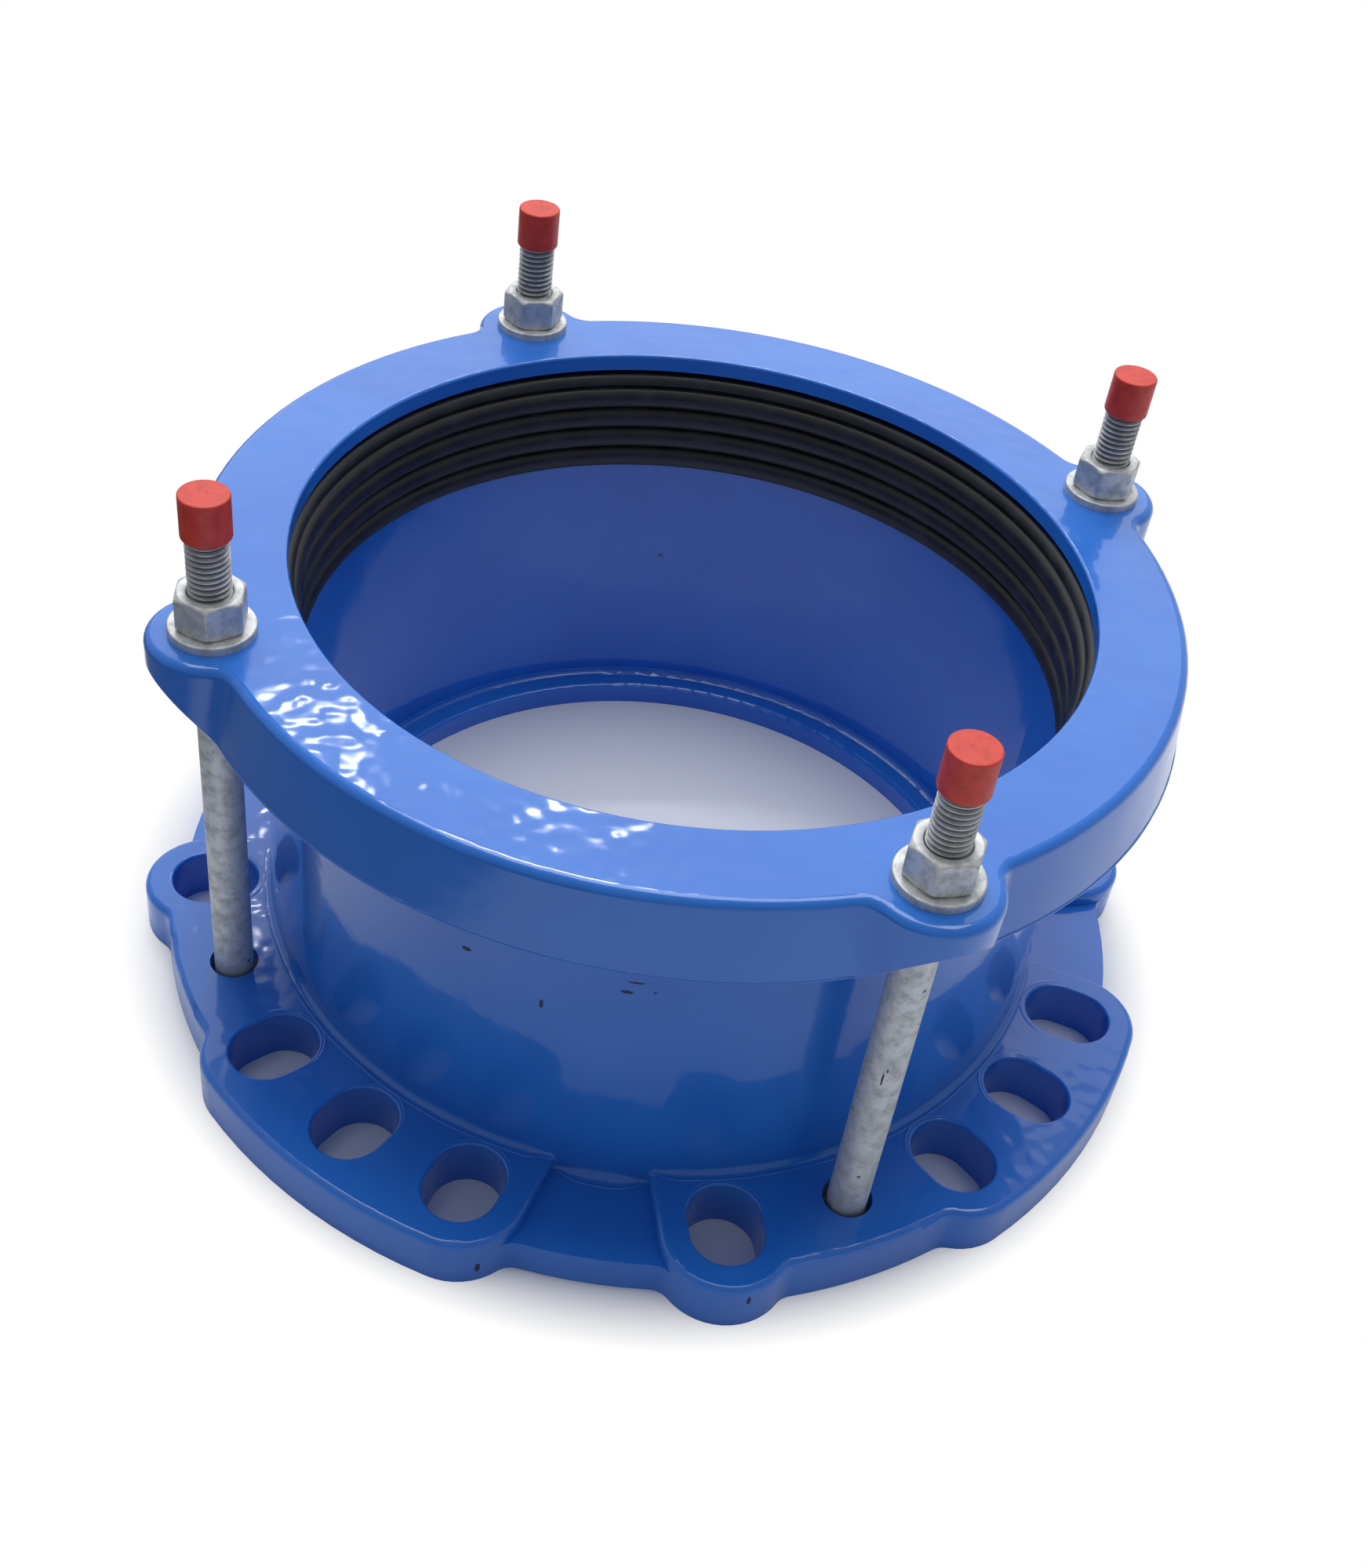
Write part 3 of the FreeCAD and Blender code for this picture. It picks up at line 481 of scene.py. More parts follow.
@dataclass(frozen=True)
class StudioPaper(Finish):
    """Matt white paper: keeps the shadow close to the object and fades to plain white away from it."""

    name: str = "white_paper"
    colour: str = "#E3E5EC"
    fade_start: float = 158.0
    fade_end: float = 178.0
    # A grey card lies on the left, outside the shadow, where only the castings mirror it.
    card: str = "#62666F"
    card_edge: float = -225.0
    card_fade: float = 50.0

    def surface(self, tree: Tree) -> Socket:
        """Add the paper to a tree.

        Args:
            tree: The tree that gets the nodes.

        Returns:
            The shader's output.
        """
        place = add_node(tree, "ShaderNodeTexCoord").outputs["Object"]
        distance = add_node(tree, "ShaderNodeVectorMath", {"operation": "LENGTH"}, {0: place})
        far = add_node(tree, "ShaderNodeMapRange", {"clamp": True}, {
            "Value": distance.outputs["Value"],
            "From Min": self.fade_start * MM, "From Max": self.fade_end * MM,
        }).outputs["Result"]
        seen = add_node(tree, "ShaderNodeLightPath").outputs["Is Camera Ray"]
        share = add_node(tree, "ShaderNodeMath", {"operation": "MULTIPLY"}, {0: far, 1: seen}).outputs[0]
        across = add_node(tree, "ShaderNodeSeparateXYZ", None, {0: place}).outputs["X"]
        carded = add_node(tree, "ShaderNodeMapRange", {"clamp": True}, {
            "Value": across,
            "From Min": self.card_edge * MM, "From Max": (self.card_edge - self.card_fade) * MM,
        }).outputs["Result"]
        colour = add_node(tree, "ShaderNodeMix", MIX_COLOURS, {
            MIX_SHARE: carded, MIX_FIRST: hex_colour(self.colour), MIX_SECOND: hex_colour(self.card),
        }).outputs[MIX_RESULT]
        paper = add_node(tree, "ShaderNodeBsdfDiffuse", None, {"Color": colour})
        white = add_node(tree, "ShaderNodeEmission", None, {"Color": hex_colour(WHITE), "Strength": 1.0})
        return add_node(tree, "ShaderNodeMixShader", None, {
            0: share, 1: paper.outputs[0], 2: white.outputs[0],
        }).outputs[0]


def circle_ring(radius: float, height: float, angles: Sequence[float]) -> Ring:
    """Ring of points at one height, at given angles in radians."""
    return [(radius * math.cos(a), radius * math.sin(a), height) for a in angles]


def round_corner(before: Point, corner: Point, after: Point, radius: float, steps: int) -> list[Point]:
    """Points of an arc that rounds a corner of a section.

    Args:
        before: The point before the corner.
        corner: The corner.
        after: The point after the corner.
        radius: Radius of the arc.
        steps: Number of spans in the arc.

    Returns:
        The arc's points, its two ends included.
    """
    here = Vector(corner)
    first = (Vector(before) - here).normalized()
    second = (Vector(after) - here).normalized()
    half = first.angle(second) / 2
    setback = radius / math.tan(half)
    centre = here + (first + second).normalized() * (radius / math.sin(half))
    start = here + first * setback - centre
    end = here + second * setback - centre
    sweep = start.angle_signed(end)
    points = []
    for step in range(steps + 1):
        turned = start.copy()
        turned.rotate(Matrix.Rotation(-sweep * step / steps, 2))
        points.append((centre.x + turned.x, centre.y + turned.y))
    return points


def rounded_section(corners: Sequence[tuple[float, float, float]], steps: int = 5) -> list[Point]:
    """Open section from corners that each carry the radius of their rounding.

    Args:
        corners: Across, along and rounding radius of each corner. The two ends stay as they are.
        steps: Number of spans in each rounding.

    Returns:
        The section's points in order.
    """
    points: list[Point] = []
    for place, (across, along, radius) in enumerate(corners):
        if radius <= 0 or place in (0, len(corners) - 1):
            points.append((across, along))
            continue
        before = corners[place - 1][:2]
        after = corners[place + 1][:2]
        points.extend(round_corner(before, (across, along), after, radius, steps))
    return points


def join_rings(rings: Sequence[Ring], closed: bool = True) -> Shape:
    """Faces between rings that have the same number of points.

    Args:
        rings: The rings, in order along the section.
        closed: Whether the last ring joins the first.

    Returns:
        All points, and the faces.
    """
    count = len(rings[0])
    points = [point for ring in rings for point in ring]
    faces = []
    spans = len(rings) if closed else len(rings) - 1
    for row in range(spans):
        here = row * count
        there = ((row + 1) % len(rings)) * count
        for column in range(count):
            following = (column + 1) % count
            faces.append((here + column, here + following, there + following, there + column))
    return points, faces


def capped_rings(rings: Sequence[Ring]) -> Shape:
    """Faces of an open run of rings, with one more face across each end.

    Args:
        rings: The rings, in order along the run.

    Returns:
        All points, and the faces.
    """
    points, faces = join_rings(rings, closed=False)
    count = len(rings[0])
    faces.append(tuple(range(count)))
    faces.append(tuple(range(len(points) - count, len(points))))
    return points, faces


def lathe(section: Sequence[Point], segments: int, closed: bool = True) -> Shape:
    """Turn a section about the Z axis."""
    angles = [2 * math.pi * number / segments for number in range(segments)]
    return join_rings([circle_ring(radius, height, angles) for radius, height in section], closed)


def polar(radius: float, angle: float) -> Point:
    """Across and along of a place at a radius and an angle."""
    return radius * math.cos(math.radians(angle)), radius * math.sin(math.radians(angle))


def bolt_angle(number: int) -> float:
    """Angle of a tie bolt round the pipe's axis."""
    return BOLT_ANGLE + QUARTER * (number - 1)


def at_bolt(shape: Shape, number: int, turn: float) -> Shape:
    """Turn a shape about its own axis, and move it to a tie bolt.

    Args:
        shape: The shape, made round the Z axis.
        number: The bolt's number.
        turn: Angle of the turn.

    Returns:
        The moved shape.
    """
    points, faces = shape
    across, along = polar(BOLT_CIRCLE, bolt_angle(number))
    cosine, sine = polar(1.0, turn)
    return [(x * cosine - y * sine + across, x * sine + y * cosine + along, z) for x, y, z in points], faces


def uneven(turn: float, seed: int, least: float) -> float:
    """Share that changes slowly along a path, as hand laid coat does, and has no step after one turn.

    Args:
        turn: Place on the path, where one turn is two pi.
        seed: Number that picks one of many such changes.
        least: The least share.

    Returns:
        A share between the least and 1.
    """
    # Three waves whose counts to a turn share no factor, so that they never look alike twice.
    first = math.sin(turn * 5 + seed * 1.7)
    second = math.sin(turn * 11 + seed * 2.9)
    third = math.sin(turn * 23 + seed * 0.6)
    return least + (1 - least) * ((first + second * 0.6 + third * 0.4) / 4 + 0.5)


def end_taper(step: int, last: int, reach: float, least: float) -> float:
    """Share that grows from both ends of a run, from its least to 1 over some steps."""
    return min(1.0, least + min(step, last - step) / reach)


def soft_min(first: float, second: float, spread: float) -> float:
    """Smaller of two numbers, with the change from one to the other rounded over a spread."""
    share = max(spread - abs(first - second), 0.0) / spread
    return min(first, second) - share * share * spread / 4


class Piece:
    """Smooth shaded piece of the scene. Each kind says what its shape is and where it belongs.

    A piece rides on a body, names a slot, and hides the CAD node that it replaces where it names one. Its
    edges stay sharp where they turn by more than its sharp angle.
    """

    name: str
    body = "flange"
    slot = Slot.CASTING
    node = ""
    sharp_angle = 70.0
    weld_distance = 0.0001
    normal_weight = 80

    def shape(self) -> Shape:
        """Points in millimetres, and faces as point numbers."""
        raise NotImplementedError

    def build(self, finish: bpy.types.Material) -> bpy.types.Object:
        """Make the piece.

        Args:
            finish: The piece's material.

        Returns:
            The new object.
        """
        points, faces = self.shape()
        mesh = bpy.data.meshes.new(self.name)
        mesh.from_pydata([tuple(value * MM for value in point) for point in points], [], faces)
        mesh.validate()
        work = bmesh.new()
        work.from_mesh(mesh)
        bmesh.ops.remove_doubles(work, verts=work.verts, dist=self.weld_distance * MM)
        bmesh.ops.recalc_face_normals(work, faces=work.faces)
        for face in work.faces:
            face.smooth = True
        for edge in work.edges:
            soft = edge.calc_face_angle(0.0) < math.radians(self.sharp_angle)
            edge.smooth = len(edge.link_faces) == 2 and soft
        work.to_mesh(mesh)
        work.free()
        mesh.materials.append(finish)
        piece = bpy.data.objects.new(self.name, mesh)
        bpy.context.scene.collection.objects.link(piece)
        modifier = piece.modifiers.new("weighted_normals", "WEIGHTED_NORMAL")
        modifier.keep_sharp = True
        modifier.weight = self.normal_weight
        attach(piece, self.body)
        if self.node:
            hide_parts(self.node)
        return piece


@dataclass
class GasketRing(Piece):
    """Rubber ring between the bell and the gland: ridges inside, a rounded lobe on top, a wedge behind."""

    name = "rubber_gasket"
    slot = Slot.GASKET
    node = "gasket_ring"
    ridge_crest: float = 117.8
    ridge_height: float = 2.8
    ridge_land: float = 1.0
    ridge_pitch: float = 7.9
    ridge_count: int = 4
    ridge_steps: int = 7
    foot: float = 103.8
    bell_floor: float = 104.0
    bell_top: float = 127.0
    back_radius: float = 120.8
    bell_back_radius: float = 131.3
    back_round: float = 0.6
    ceiling: float = 136.7
    lobe_radius: float = 119.3
    lobe_foot_round: float = 1.0
    lobe_top: float = 141.5
    lobe_round: float = 3.0
    segments: int = 256
    sharp_angle: float = 50.0
    # Share of its height that the ring keeps when the gland is down.
    flattened: float = 0.735

    def ridges(self) -> list[Point]:
        """Section of the ridges, each a land between two hollow arcs.

        Returns:
            The points from the lowest ridge to the highest.
        """
        points: list[Point] = []
        spread = self.ridge_pitch / 2 - self.ridge_land / 2
        radius = (spread ** 2 + self.ridge_height ** 2) / (2 * self.ridge_height)
        swing = math.atan2(spread, radius - self.ridge_height)
        rising = [swing * step / self.ridge_steps for step in range(self.ridge_steps + 1)]
        for ridge in range(self.ridge_count):
            middle = self.foot + self.ridge_pitch * (ridge + 0.5)
            for side, turns in ((-1, reversed(rising)), (1, rising)):
                centre = middle + side * self.ridge_land / 2
                points += [(self.ridge_crest + radius * (1 - math.cos(turn)),
                            centre + side * radius * math.sin(turn)) for turn in turns]
        return points

    def section(self) -> list[Point]:
        """Section of the ring, from the foot up the ridges and down its back.

        Returns:
            The points in order.
        """
        ridges = self.ridges()
        top = ridges[-1][1]
        lobe_foot = top + self.lobe_radius - self.ridge_crest
        return ridges + rounded_section([
            (self.ridge_crest + self.ridge_height, top, 0),
            (self.lobe_radius, lobe_foot, self.lobe_foot_round),
            (self.lobe_radius, self.lobe_top, self.lobe_round),
            (self.bell_back_radius, self.ceiling, self.back_round),
            (self.bell_back_radius, self.bell_top, 0),
            (self.back_radius, self.bell_floor, 0),
            (self.back_radius, self.foot, 0),
        ])

    def shape(self) -> Shape:
        """The section turned about the pipe's axis."""
        return lathe(self.section(), self.segments)

    def build(self, finish: bpy.types.Material) -> bpy.types.Object:
        """Make the ring, with a mesh of its own.

        Args:
            finish: The rubber.

        Returns:
            The new object.
        """
        piece = super().build(finish)
        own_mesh(piece)
        return piece


@dataclass
class HexBlock:
    """Hexagon body with worn edges: a nut, or a bolt head where the bore is 0."""

    flats: float
    low: float
    high: float
    bore: float
    low_chamfer: float
    high_chamfer: float
    # How far a chamfer cuts into the flats, as a share of its size, and its slope.
    chamfer_cut: float = 0.35
    chamfer_slope: float = 30.0
    edge_wear: float = 0.35
    countersink: float = 0.7
    columns: int = 120
    rows: int = 22

    def radius(self, angle: float, height: float) -> float:
        """Outside radius at one place.

        Args:
            angle: Angle in radians. A corner lies at 0, with its two flats 30 degrees to either side.
            height: Height of the place.

        Returns:
            The radius.
        """
        half = self.flats / 2
        sector = math.pi / 3
        swing = (angle + sector / 2) % sector - sector / 2
        first = half / math.cos(sector / 2 - swing)
        second = half / math.cos(sector / 2 + swing)
        edge = soft_min(first, second, self.edge_wear)
        slope = math.tan(math.radians(self.chamfer_slope))
        cone = edge * 2
        if self.high_chamfer > 0:
            cone = min(cone, half - self.high_chamfer * self.chamfer_cut + (self.high - height) / slope)
        if self.low_chamfer > 0:
            cone = min(cone, half - self.low_chamfer * self.chamfer_cut + (height - self.low) / slope)
        return soft_min(edge, cone, self.edge_wear)

    def surface(self) -> Shape:
        """Outside, both end faces, and the bore with its countersinks.

        Returns:
            The points and the faces.
        """
        angles = [2 * math.pi * number / self.columns for number in range(self.columns)]
        # Rows lie closer together near both ends, where the chamfers are.
        spans = [(1 - math.cos(math.pi * row / self.rows)) / 2 for row in range(self.rows + 1)]
        levels = [self.low + (self.high - self.low) * span for span in spans]
        rings = [[(self.radius(a, z) * math.cos(a), self.radius(a, z) * math.sin(a), z) for a in angles]
                 for z in levels]
        if self.bore > 0:
            rings.append(circle_ring(self.bore + self.countersink, self.high, angles))
            rings.append(circle_ring(self.bore, self.high - self.countersink, angles))
            rings.append(circle_ring(self.bore, self.low + self.countersink, angles))
            rings.append(circle_ring(self.bore + self.countersink, self.low, angles))
            return join_rings(rings)
        rings.insert(0, circle_ring(PINHOLE, self.low, angles))
        rings.append(circle_ring(PINHOLE, self.high, angles))
        return join_rings(rings, closed=False)


@dataclass
class TieBolt(Piece):
    """M12 tie bolt: hexagon head in the flange's recess, plain shank, rolled thread and chamfered end."""

    slot = Slot.BOLT
    number: int
    head_low: float = 1.0
    head_high: float = 8.5
    head_flats: float = 18.0
    head_chamfer: float = 0.9
    shoulder_round: float = 0.5
    thread_low: float = 124.0
    tip: float = 188.5
    tip_chamfer: float = 1.2
    crest_radius: float = 5.93
    root_radius: float = 4.9
    pitch: float = 1.75
    # The core inside the thread: its depth under the root, and its steps from the shoulder and the tip.
    core_depth: float = 0.3
    core_rise: float = 0.6
    core_drop: float = 0.05
    columns: int = 40
    segments: int = 48
    sharp_angle: float = 55.0
    # Where a turn's crest starts and ends and its root starts and ends, as shares of the pitch.
    phases: tuple[float, float, float, float] = (0.0, 0.16, 0.5, 0.66)

    def __post_init__(self) -> None:
        """Name the bolt and its node."""
        self.name = f"tie_bolt_{self.number}"
        self.node = f"stud_bolt_{self.number}"

    def thread(self) -> Shape:
        """Helical surface of the thread, from the shank's shoulder to the chamfered end.

        Returns:
            The points and the faces.
        """
        count = len(self.phases)
        turns = math.ceil((self.tip - self.thread_low) / self.pitch)
        rows = count * (turns + 1)
        points = []
        for row in range(-count, rows):
            turn, step = divmod(row, count)
            radius = self.crest_radius if step < 2 else self.root_radius
            for column in range(self.columns):
                share = column / self.columns
                height = self.thread_low + self.pitch * (turn + self.phases[step] + share)
                height = min(max(height, self.thread_low), self.tip)
                limit = self.crest_radius - max(self.tip_chamfer - (self.tip - height), 0.0)
                angle = 2 * math.pi * share
                here = min(radius, limit)
                points.append((here * math.cos(angle), here * math.sin(angle), height))
        faces = []
        last = count + rows - 1
        for row in range(last):
            for column in range(self.columns):
                # Past the last column the helix goes on one turn higher.
                following = (column + 1) % self.columns
                shift = count if following == 0 else 0
                if row + 1 + shift > last:
                    continue
                here = row * self.columns + column
                there = (row + shift) * self.columns + following
                faces.append((here, there, there + self.columns, here + self.columns))
        return points, faces

    def shank(self) -> Shape:
        """Turned surface of the shank, with the core and the end face inside the thread.

        Returns:
            The points and the faces.
        """
        core = self.root_radius - self.core_depth
        section = rounded_section([
            (PINHOLE, self.head_high, 0),
            (SHANK_RADIUS, self.head_high, 0),
            (SHANK_RADIUS, self.thread_low, self.shoulder_round),
            (core, self.thread_low + self.core_rise, 0),
            (core, self.tip - self.core_drop, 0),
            (self.crest_radius - self.tip_chamfer, self.tip, 0),
            (PINHOLE, self.tip, 0),
        ])
        return lathe(section, self.segments, closed=False)

    def shape(self) -> Shape:
        """Head, shank and thread at the bolt's place.

        Returns:
            The points and the faces.
        """
        head = HexBlock(self.head_flats, self.head_low, self.head_high, bore=0.0,
                        low_chamfer=self.head_chamfer, high_chamfer=0.0)
        points: list = []
        faces: list = []
        for part_points, part_faces in (self.shank(), self.thread(), head.surface()):
            offset = len(points)
            points += part_points
            faces += [tuple(number + offset for number in face) for face in part_faces]
        return at_bolt((points, faces), self.number, bolt_angle(self.number))

    def build(self, finish: bpy.types.Material) -> bpy.types.Object:
        """Make the bolt, and write down how deep each point of the thread lies below its crest.

        Args:
            finish: The coated steel.

        Returns:
            The new object.
        """
        piece = super().build(finish)
        across, along = polar(BOLT_CIRCLE, bolt_angle(self.number))
        span = self.crest_radius - self.root_radius
        layer = piece.data.attributes.new(GROOVE, "FLOAT", "POINT")
        for vertex, item in zip(piece.data.vertices, layer.data):
            radius = math.hypot(vertex.co.x / MM - across, vertex.co.y / MM - along)
            depth = (self.crest_radius - radius) / span
            on_thread = self.thread_low < vertex.co.z / MM < self.tip - self.tip_chamfer
            item.value = min(max(depth, 0.0), 1.0) if on_thread else 0.0
        return piece


@dataclass
class HexNut(Piece):
    """M12 nut on its washer, at the turn where it was left."""

    slot = Slot.NUT
    number: int
    low: float = 149.9
    high: float = 160.7
    flats: float = 18.0
    bore: float = 6.0
    chamfer: float = 1.0
    sharp_angle: float = 55.0
    # Turn of each nut, in the order of the bolts.
    turns: tuple[float, float, float, float] = (56.0, 2.0, 24.0, 3.0)

    def __post_init__(self) -> None:
        """Name the nut, its body and its node."""
        self.name = f"nut_{self.number}"
        self.body = f"nut_{self.number}"
        self.node = f"hex_nut_{self.number}"

    def shape(self) -> Shape:
        """The nut at its place and turn."""
        block = HexBlock(self.flats, self.low, self.high, self.bore, self.chamfer, self.chamfer)
        return at_bolt(block.surface(), self.number, self.turns[self.number - 1])


@dataclass
class ThreadCap(Piece):
    """Red cap pushed over a bolt's end, with a rounded mouth and a gate mark on top."""

    slot = Slot.CAP
    number: int
    bore: float = 6.0
    outside: float = 6.85
    mouth: float = 177.8
    mouth_round: float = 0.6
    lip_round: float = 0.15
    ceiling: float = 188.9
    top: float = 190.8
    crown: float = 0.06
    edge_round: float = 0.55
    gate_radius: float = 0.9
    gate_slope: float = 0.5
    gate_depth: float = 0.22
    gate_round: float = 0.2
    segments: int = 64
    sharp_angle: float = 50.0

    def __post_init__(self) -> None:
        """Name the cap, its body and its node."""
        self.name = f"cap_{self.number}"
        self.body = f"cap_{self.number}"
        self.node = f"thread_cap_{self.number}"

    def shape(self) -> Shape:
        """The cap at its place, from the ceiling inside to the gate mark on top.

        Returns:
            The points and the faces.
        """
        section = rounded_section([
            (PINHOLE, self.ceiling, 0),
            (self.bore, self.ceiling, 0),
            (self.bore, self.mouth, self.lip_round),
            (self.outside, self.mouth, self.mouth_round),
            (self.outside, self.top - self.crown, self.edge_round),
            (self.gate_radius + self.gate_slope, self.top, 0),
            (self.gate_radius, self.top - self.gate_depth, self.gate_round),
            (PINHOLE, self.top - self.gate_depth, 0),
        ])
        turned = lathe(section, self.segments, closed=False)
        return at_bolt(turned, self.number, bolt_angle(self.number))


@dataclass
class CoatBead(Piece):
    """Low open bead of epoxy that drew back from an edge, along a path in the plane."""

    name: str
    path: Sequence[Point]
    height: float
    seed: int
    width: float = 1.3
    rise: float = 0.16
    # Half of the bead's section: share of the half width, and share of the rise.
    profile: tuple[Point, ...] = (
        (-1.0, -0.35), (-0.8, 0.3), (-0.4, 0.82), (0.0, 1.0), (0.4, 0.82), (0.8, 0.3), (1.0, -0.35),
    )
    least_rise: float = 0.55
    # Share of the width that stays where the rise is lower.
    firm_width: float = 0.6
    taper_steps: float = 10.0
    taper_least: float = 0.05

    def shape(self) -> Shape:
        """The bead along its path.

        Returns:
            The points and the faces.
        """
        last = len(self.path) - 1
        rings = []
        for place, (x, y) in enumerate(self.path):
            before = self.path[max(place - 1, 0)]
            after = self.path[min(place + 1, last)]
            along = Vector((after[0] - before[0], after[1] - before[1])).normalized()
            share = uneven(2 * math.pi * place / len(self.path), self.seed, self.least_rise)
            rise = self.rise * share * end_taper(place, last, self.taper_steps, self.taper_least)
            half = self.width / 2 * (self.firm_width + (1 - self.firm_width) * share)
            rings.append([(x - along.y * side * half, y + along.x * side * half, self.height + rise * lift)
                          for side, lift in self.profile])
        return capped_rings(rings)


@dataclass
class FootFillet(Piece):
    """Hollow corner of coat and casting between the flange and the barrel, over one arc."""

    name: str
    start: float
    end: float
    floor: float
    size: float
    seed: int
    # How far the fillet reaches into both castings, and the low lip where the coat runs out.
    sunk: float = 0.3
    lip: float = 0.16
    lip_width: float = 0.4
    arc_steps: int = 8
    steps_per_degree: float = 1.3
    least_steps: int = 12
    least_share: float = 0.85
    taper_steps: float = 5.0
    taper_least: float = 0.15

    def section(self, size: float, taper: float) -> list[Point]:
        """Section of the fillet.

        Args:
            size: Radius of the hollow.
            taper: Share of the lip that is left.

        Returns:
            Radius and height of each point, from the barrel down to the flange.
        """
        inside = BARREL_RADIUS - self.sunk
        edge = BARREL_RADIUS + size
        points = [(inside, self.floor - self.sunk), (inside, self.floor + size)]
        for step in range(self.arc_steps + 1):
            swing = math.pi + math.pi / 2 * step / self.arc_steps
            points.append((edge + size * math.cos(swing), self.floor + size + size * math.sin(swing)))
        points.append((edge + self.lip_width, self.floor + self.lip * taper))
        points.append((edge + self.lip_width * 2, self.floor + self.lip * taper))
        points.append((edge + self.lip_width * 3, self.floor - self.sunk))
        return points

    def shape(self) -> Shape:
        """The fillet between its two angles.

        Returns:
            The points and the faces.
        """
        steps = max(int(abs(self.end - self.start) * self.steps_per_degree), self.least_steps)
        rings = []
        for step in range(steps + 1):
            angle = math.radians(self.start + (self.end - self.start) * step / steps)
            taper = end_taper(step, steps, self.taper_steps, self.taper_least)
            size = self.size * taper * uneven(angle * 3, self.seed, self.least_share)
            rings.append([(radius * math.cos(angle), radius * math.sin(angle), height)
                          for radius, height in self.section(size, taper)])
        return capped_rings(rings)


@dataclass
class SkirtEdge(Piece):
    """Thin roll of coat along the lower edge of the gland's skirt, between two tie bolts."""

    body = "gland"
    quarter: int
    radius: float = 150.75
    height: float = 123.1
    roll: float = 0.55
    # Angle that stays clear on either side of a bolt.
    clear: float = 2.4
    steps: int = 150
    sides: int = 10
    least_share: float = 0.8
    taper_steps: float = 4.0
    taper_least: float = 0.3

    def __post_init__(self) -> None:
        """Name the roll."""
        self.name = f"skirt_edge_{self.quarter + 1}"

    def shape(self) -> Shape:
        """The roll over one quarter, clear of both bolt holes.

        Returns:
            The points and the faces.
        """
        start = BOLT_ANGLE + QUARTER * self.quarter + self.clear
        span = QUARTER - 2 * self.clear
        turns = [2 * math.pi * side / self.sides for side in range(self.sides)]
        rings = []
        for step in range(self.steps + 1):
            angle = math.radians(start + span * step / self.steps)
            taper = end_taper(step, self.steps, self.taper_steps, self.taper_least)
            thick = self.roll * taper * uneven(angle * 4, self.quarter, self.least_share)
            ring = []
            for turn in turns:
                across = self.radius + thick * math.cos(turn)
                height = self.height + thick * math.sin(turn)
                ring.append((across * math.cos(angle), across * math.sin(angle), height))
            rings.append(ring)
        return capped_rings(rings)


@dataclass
class FlangeBeads:
    """Beads of coat round the flange's slots, and fillets along the barrel's foot."""

    slot_circle: float = 147.5
    slot_width: float = 22.0
    slot_length: float = 27.5
    slot_angles: tuple[float, ...] = (0.0, 30.0, 45.0, 60.0)
    # A slot's bead lies just outside its rim, and swings to both sides of the line to the middle.
    rim: float = 1.9
    bead_swing: float = 80.0
    bead_steps: int = 32
    pad_top: float = 17.0
    pad_fillet: float = 2.6
    web_top: float = 12.0
    web_fillet: float = 3.4
    hollow_angle: float = 75.0
    hollow_half: float = 6.1
    fillet_gap: float = 0.5
    pad_seed: int = 5

    def slot_path(self, angle: float) -> list[Point]:
        """Open path just outside a slot's edge, on the barrel's side.

        Args:
            angle: The slot's angle.

        Returns:
            The path's points.
        """
        half = self.slot_width / 2 + self.rim
        reach = (self.slot_length - self.slot_width) / 2
        turn = math.radians(angle)
        path = []
        for step in range(self.bead_steps + 1):
            swing = math.radians(self.bead_swing) * (2 * step / self.bead_steps - 1)
            x = self.slot_circle - reach - half * math.cos(swing)
            y = -half * math.sin(swing)
            path.append((x * math.cos(turn) - y * math.sin(turn), x * math.sin(turn) + y * math.cos(turn)))
        return path

    def pieces(self) -> list[Piece]:
        """All beads and fillets.

        Returns:
            The pieces, quarter by quarter.
        """
        pieces: list[Piece] = []
        pad_edge = self.hollow_half + self.fillet_gap
        for quarter in QUARTERS:
            for angle in self.slot_angles:
                here = angle + QUARTER * quarter
                path = self.slot_path(here)
                pieces.append(CoatBead(f"slot_bead_{here:03.0f}", path, self.pad_top, int(here)))
            middle = self.hollow_angle + QUARTER * quarter
            pieces.append(FootFillet(f"hollow_fillet_{quarter + 1}", middle - self.hollow_half,
                                     middle + self.hollow_half, self.web_top, self.web_fillet, quarter))
            pieces.append(FootFillet(f"pad_fillet_{quarter + 1}", middle + pad_edge,
                                     middle + QUARTER - pad_edge, self.pad_top, self.pad_fillet,
                                     quarter + self.pad_seed))
        return pieces


@dataclass(frozen=True)
class Chip(Piece):
    """Chip on an upright round wall: the wall's middle and radius, and the chip's place and size on it."""

    name: str
    middle: Point
    radius: float
    angle: float
    height: float
    width: float
    tall: float
    # The chip's rings, from its sunk rim to its middle: share of its size, and height over the wall.
    profile: tuple[Point, ...] = ((1.0, -0.15), (1.0, 0.03), (0.7, 0.02), (0.02, 0.02))
    least_reach: float = 0.6
    corners: int = 16
    slot: Slot = Slot.CASTING

    def shape(self) -> Shape:
        """The chip, a shallow ragged patch on its wall.

        Returns:
            The points and the faces.
        """
        turns = [2 * math.pi * corner / self.corners for corner in range(self.corners)]
        rings = []
        for share, depth in self.profile:
            ring = []
            for turn in turns:
                reach = share * uneven(turn, int(self.height), self.least_reach)
                swing = math.radians(self.angle) + self.width / 2 * reach * math.cos(turn) / self.radius
                ring.append((self.middle[0] + (self.radius + depth) * math.cos(swing),
                             self.middle[1] + (self.radius + depth) * math.sin(swing),
                             self.height + self.tall / 2 * reach * math.sin(turn)))
            rings.append(ring)
        return capped_rings(rings)


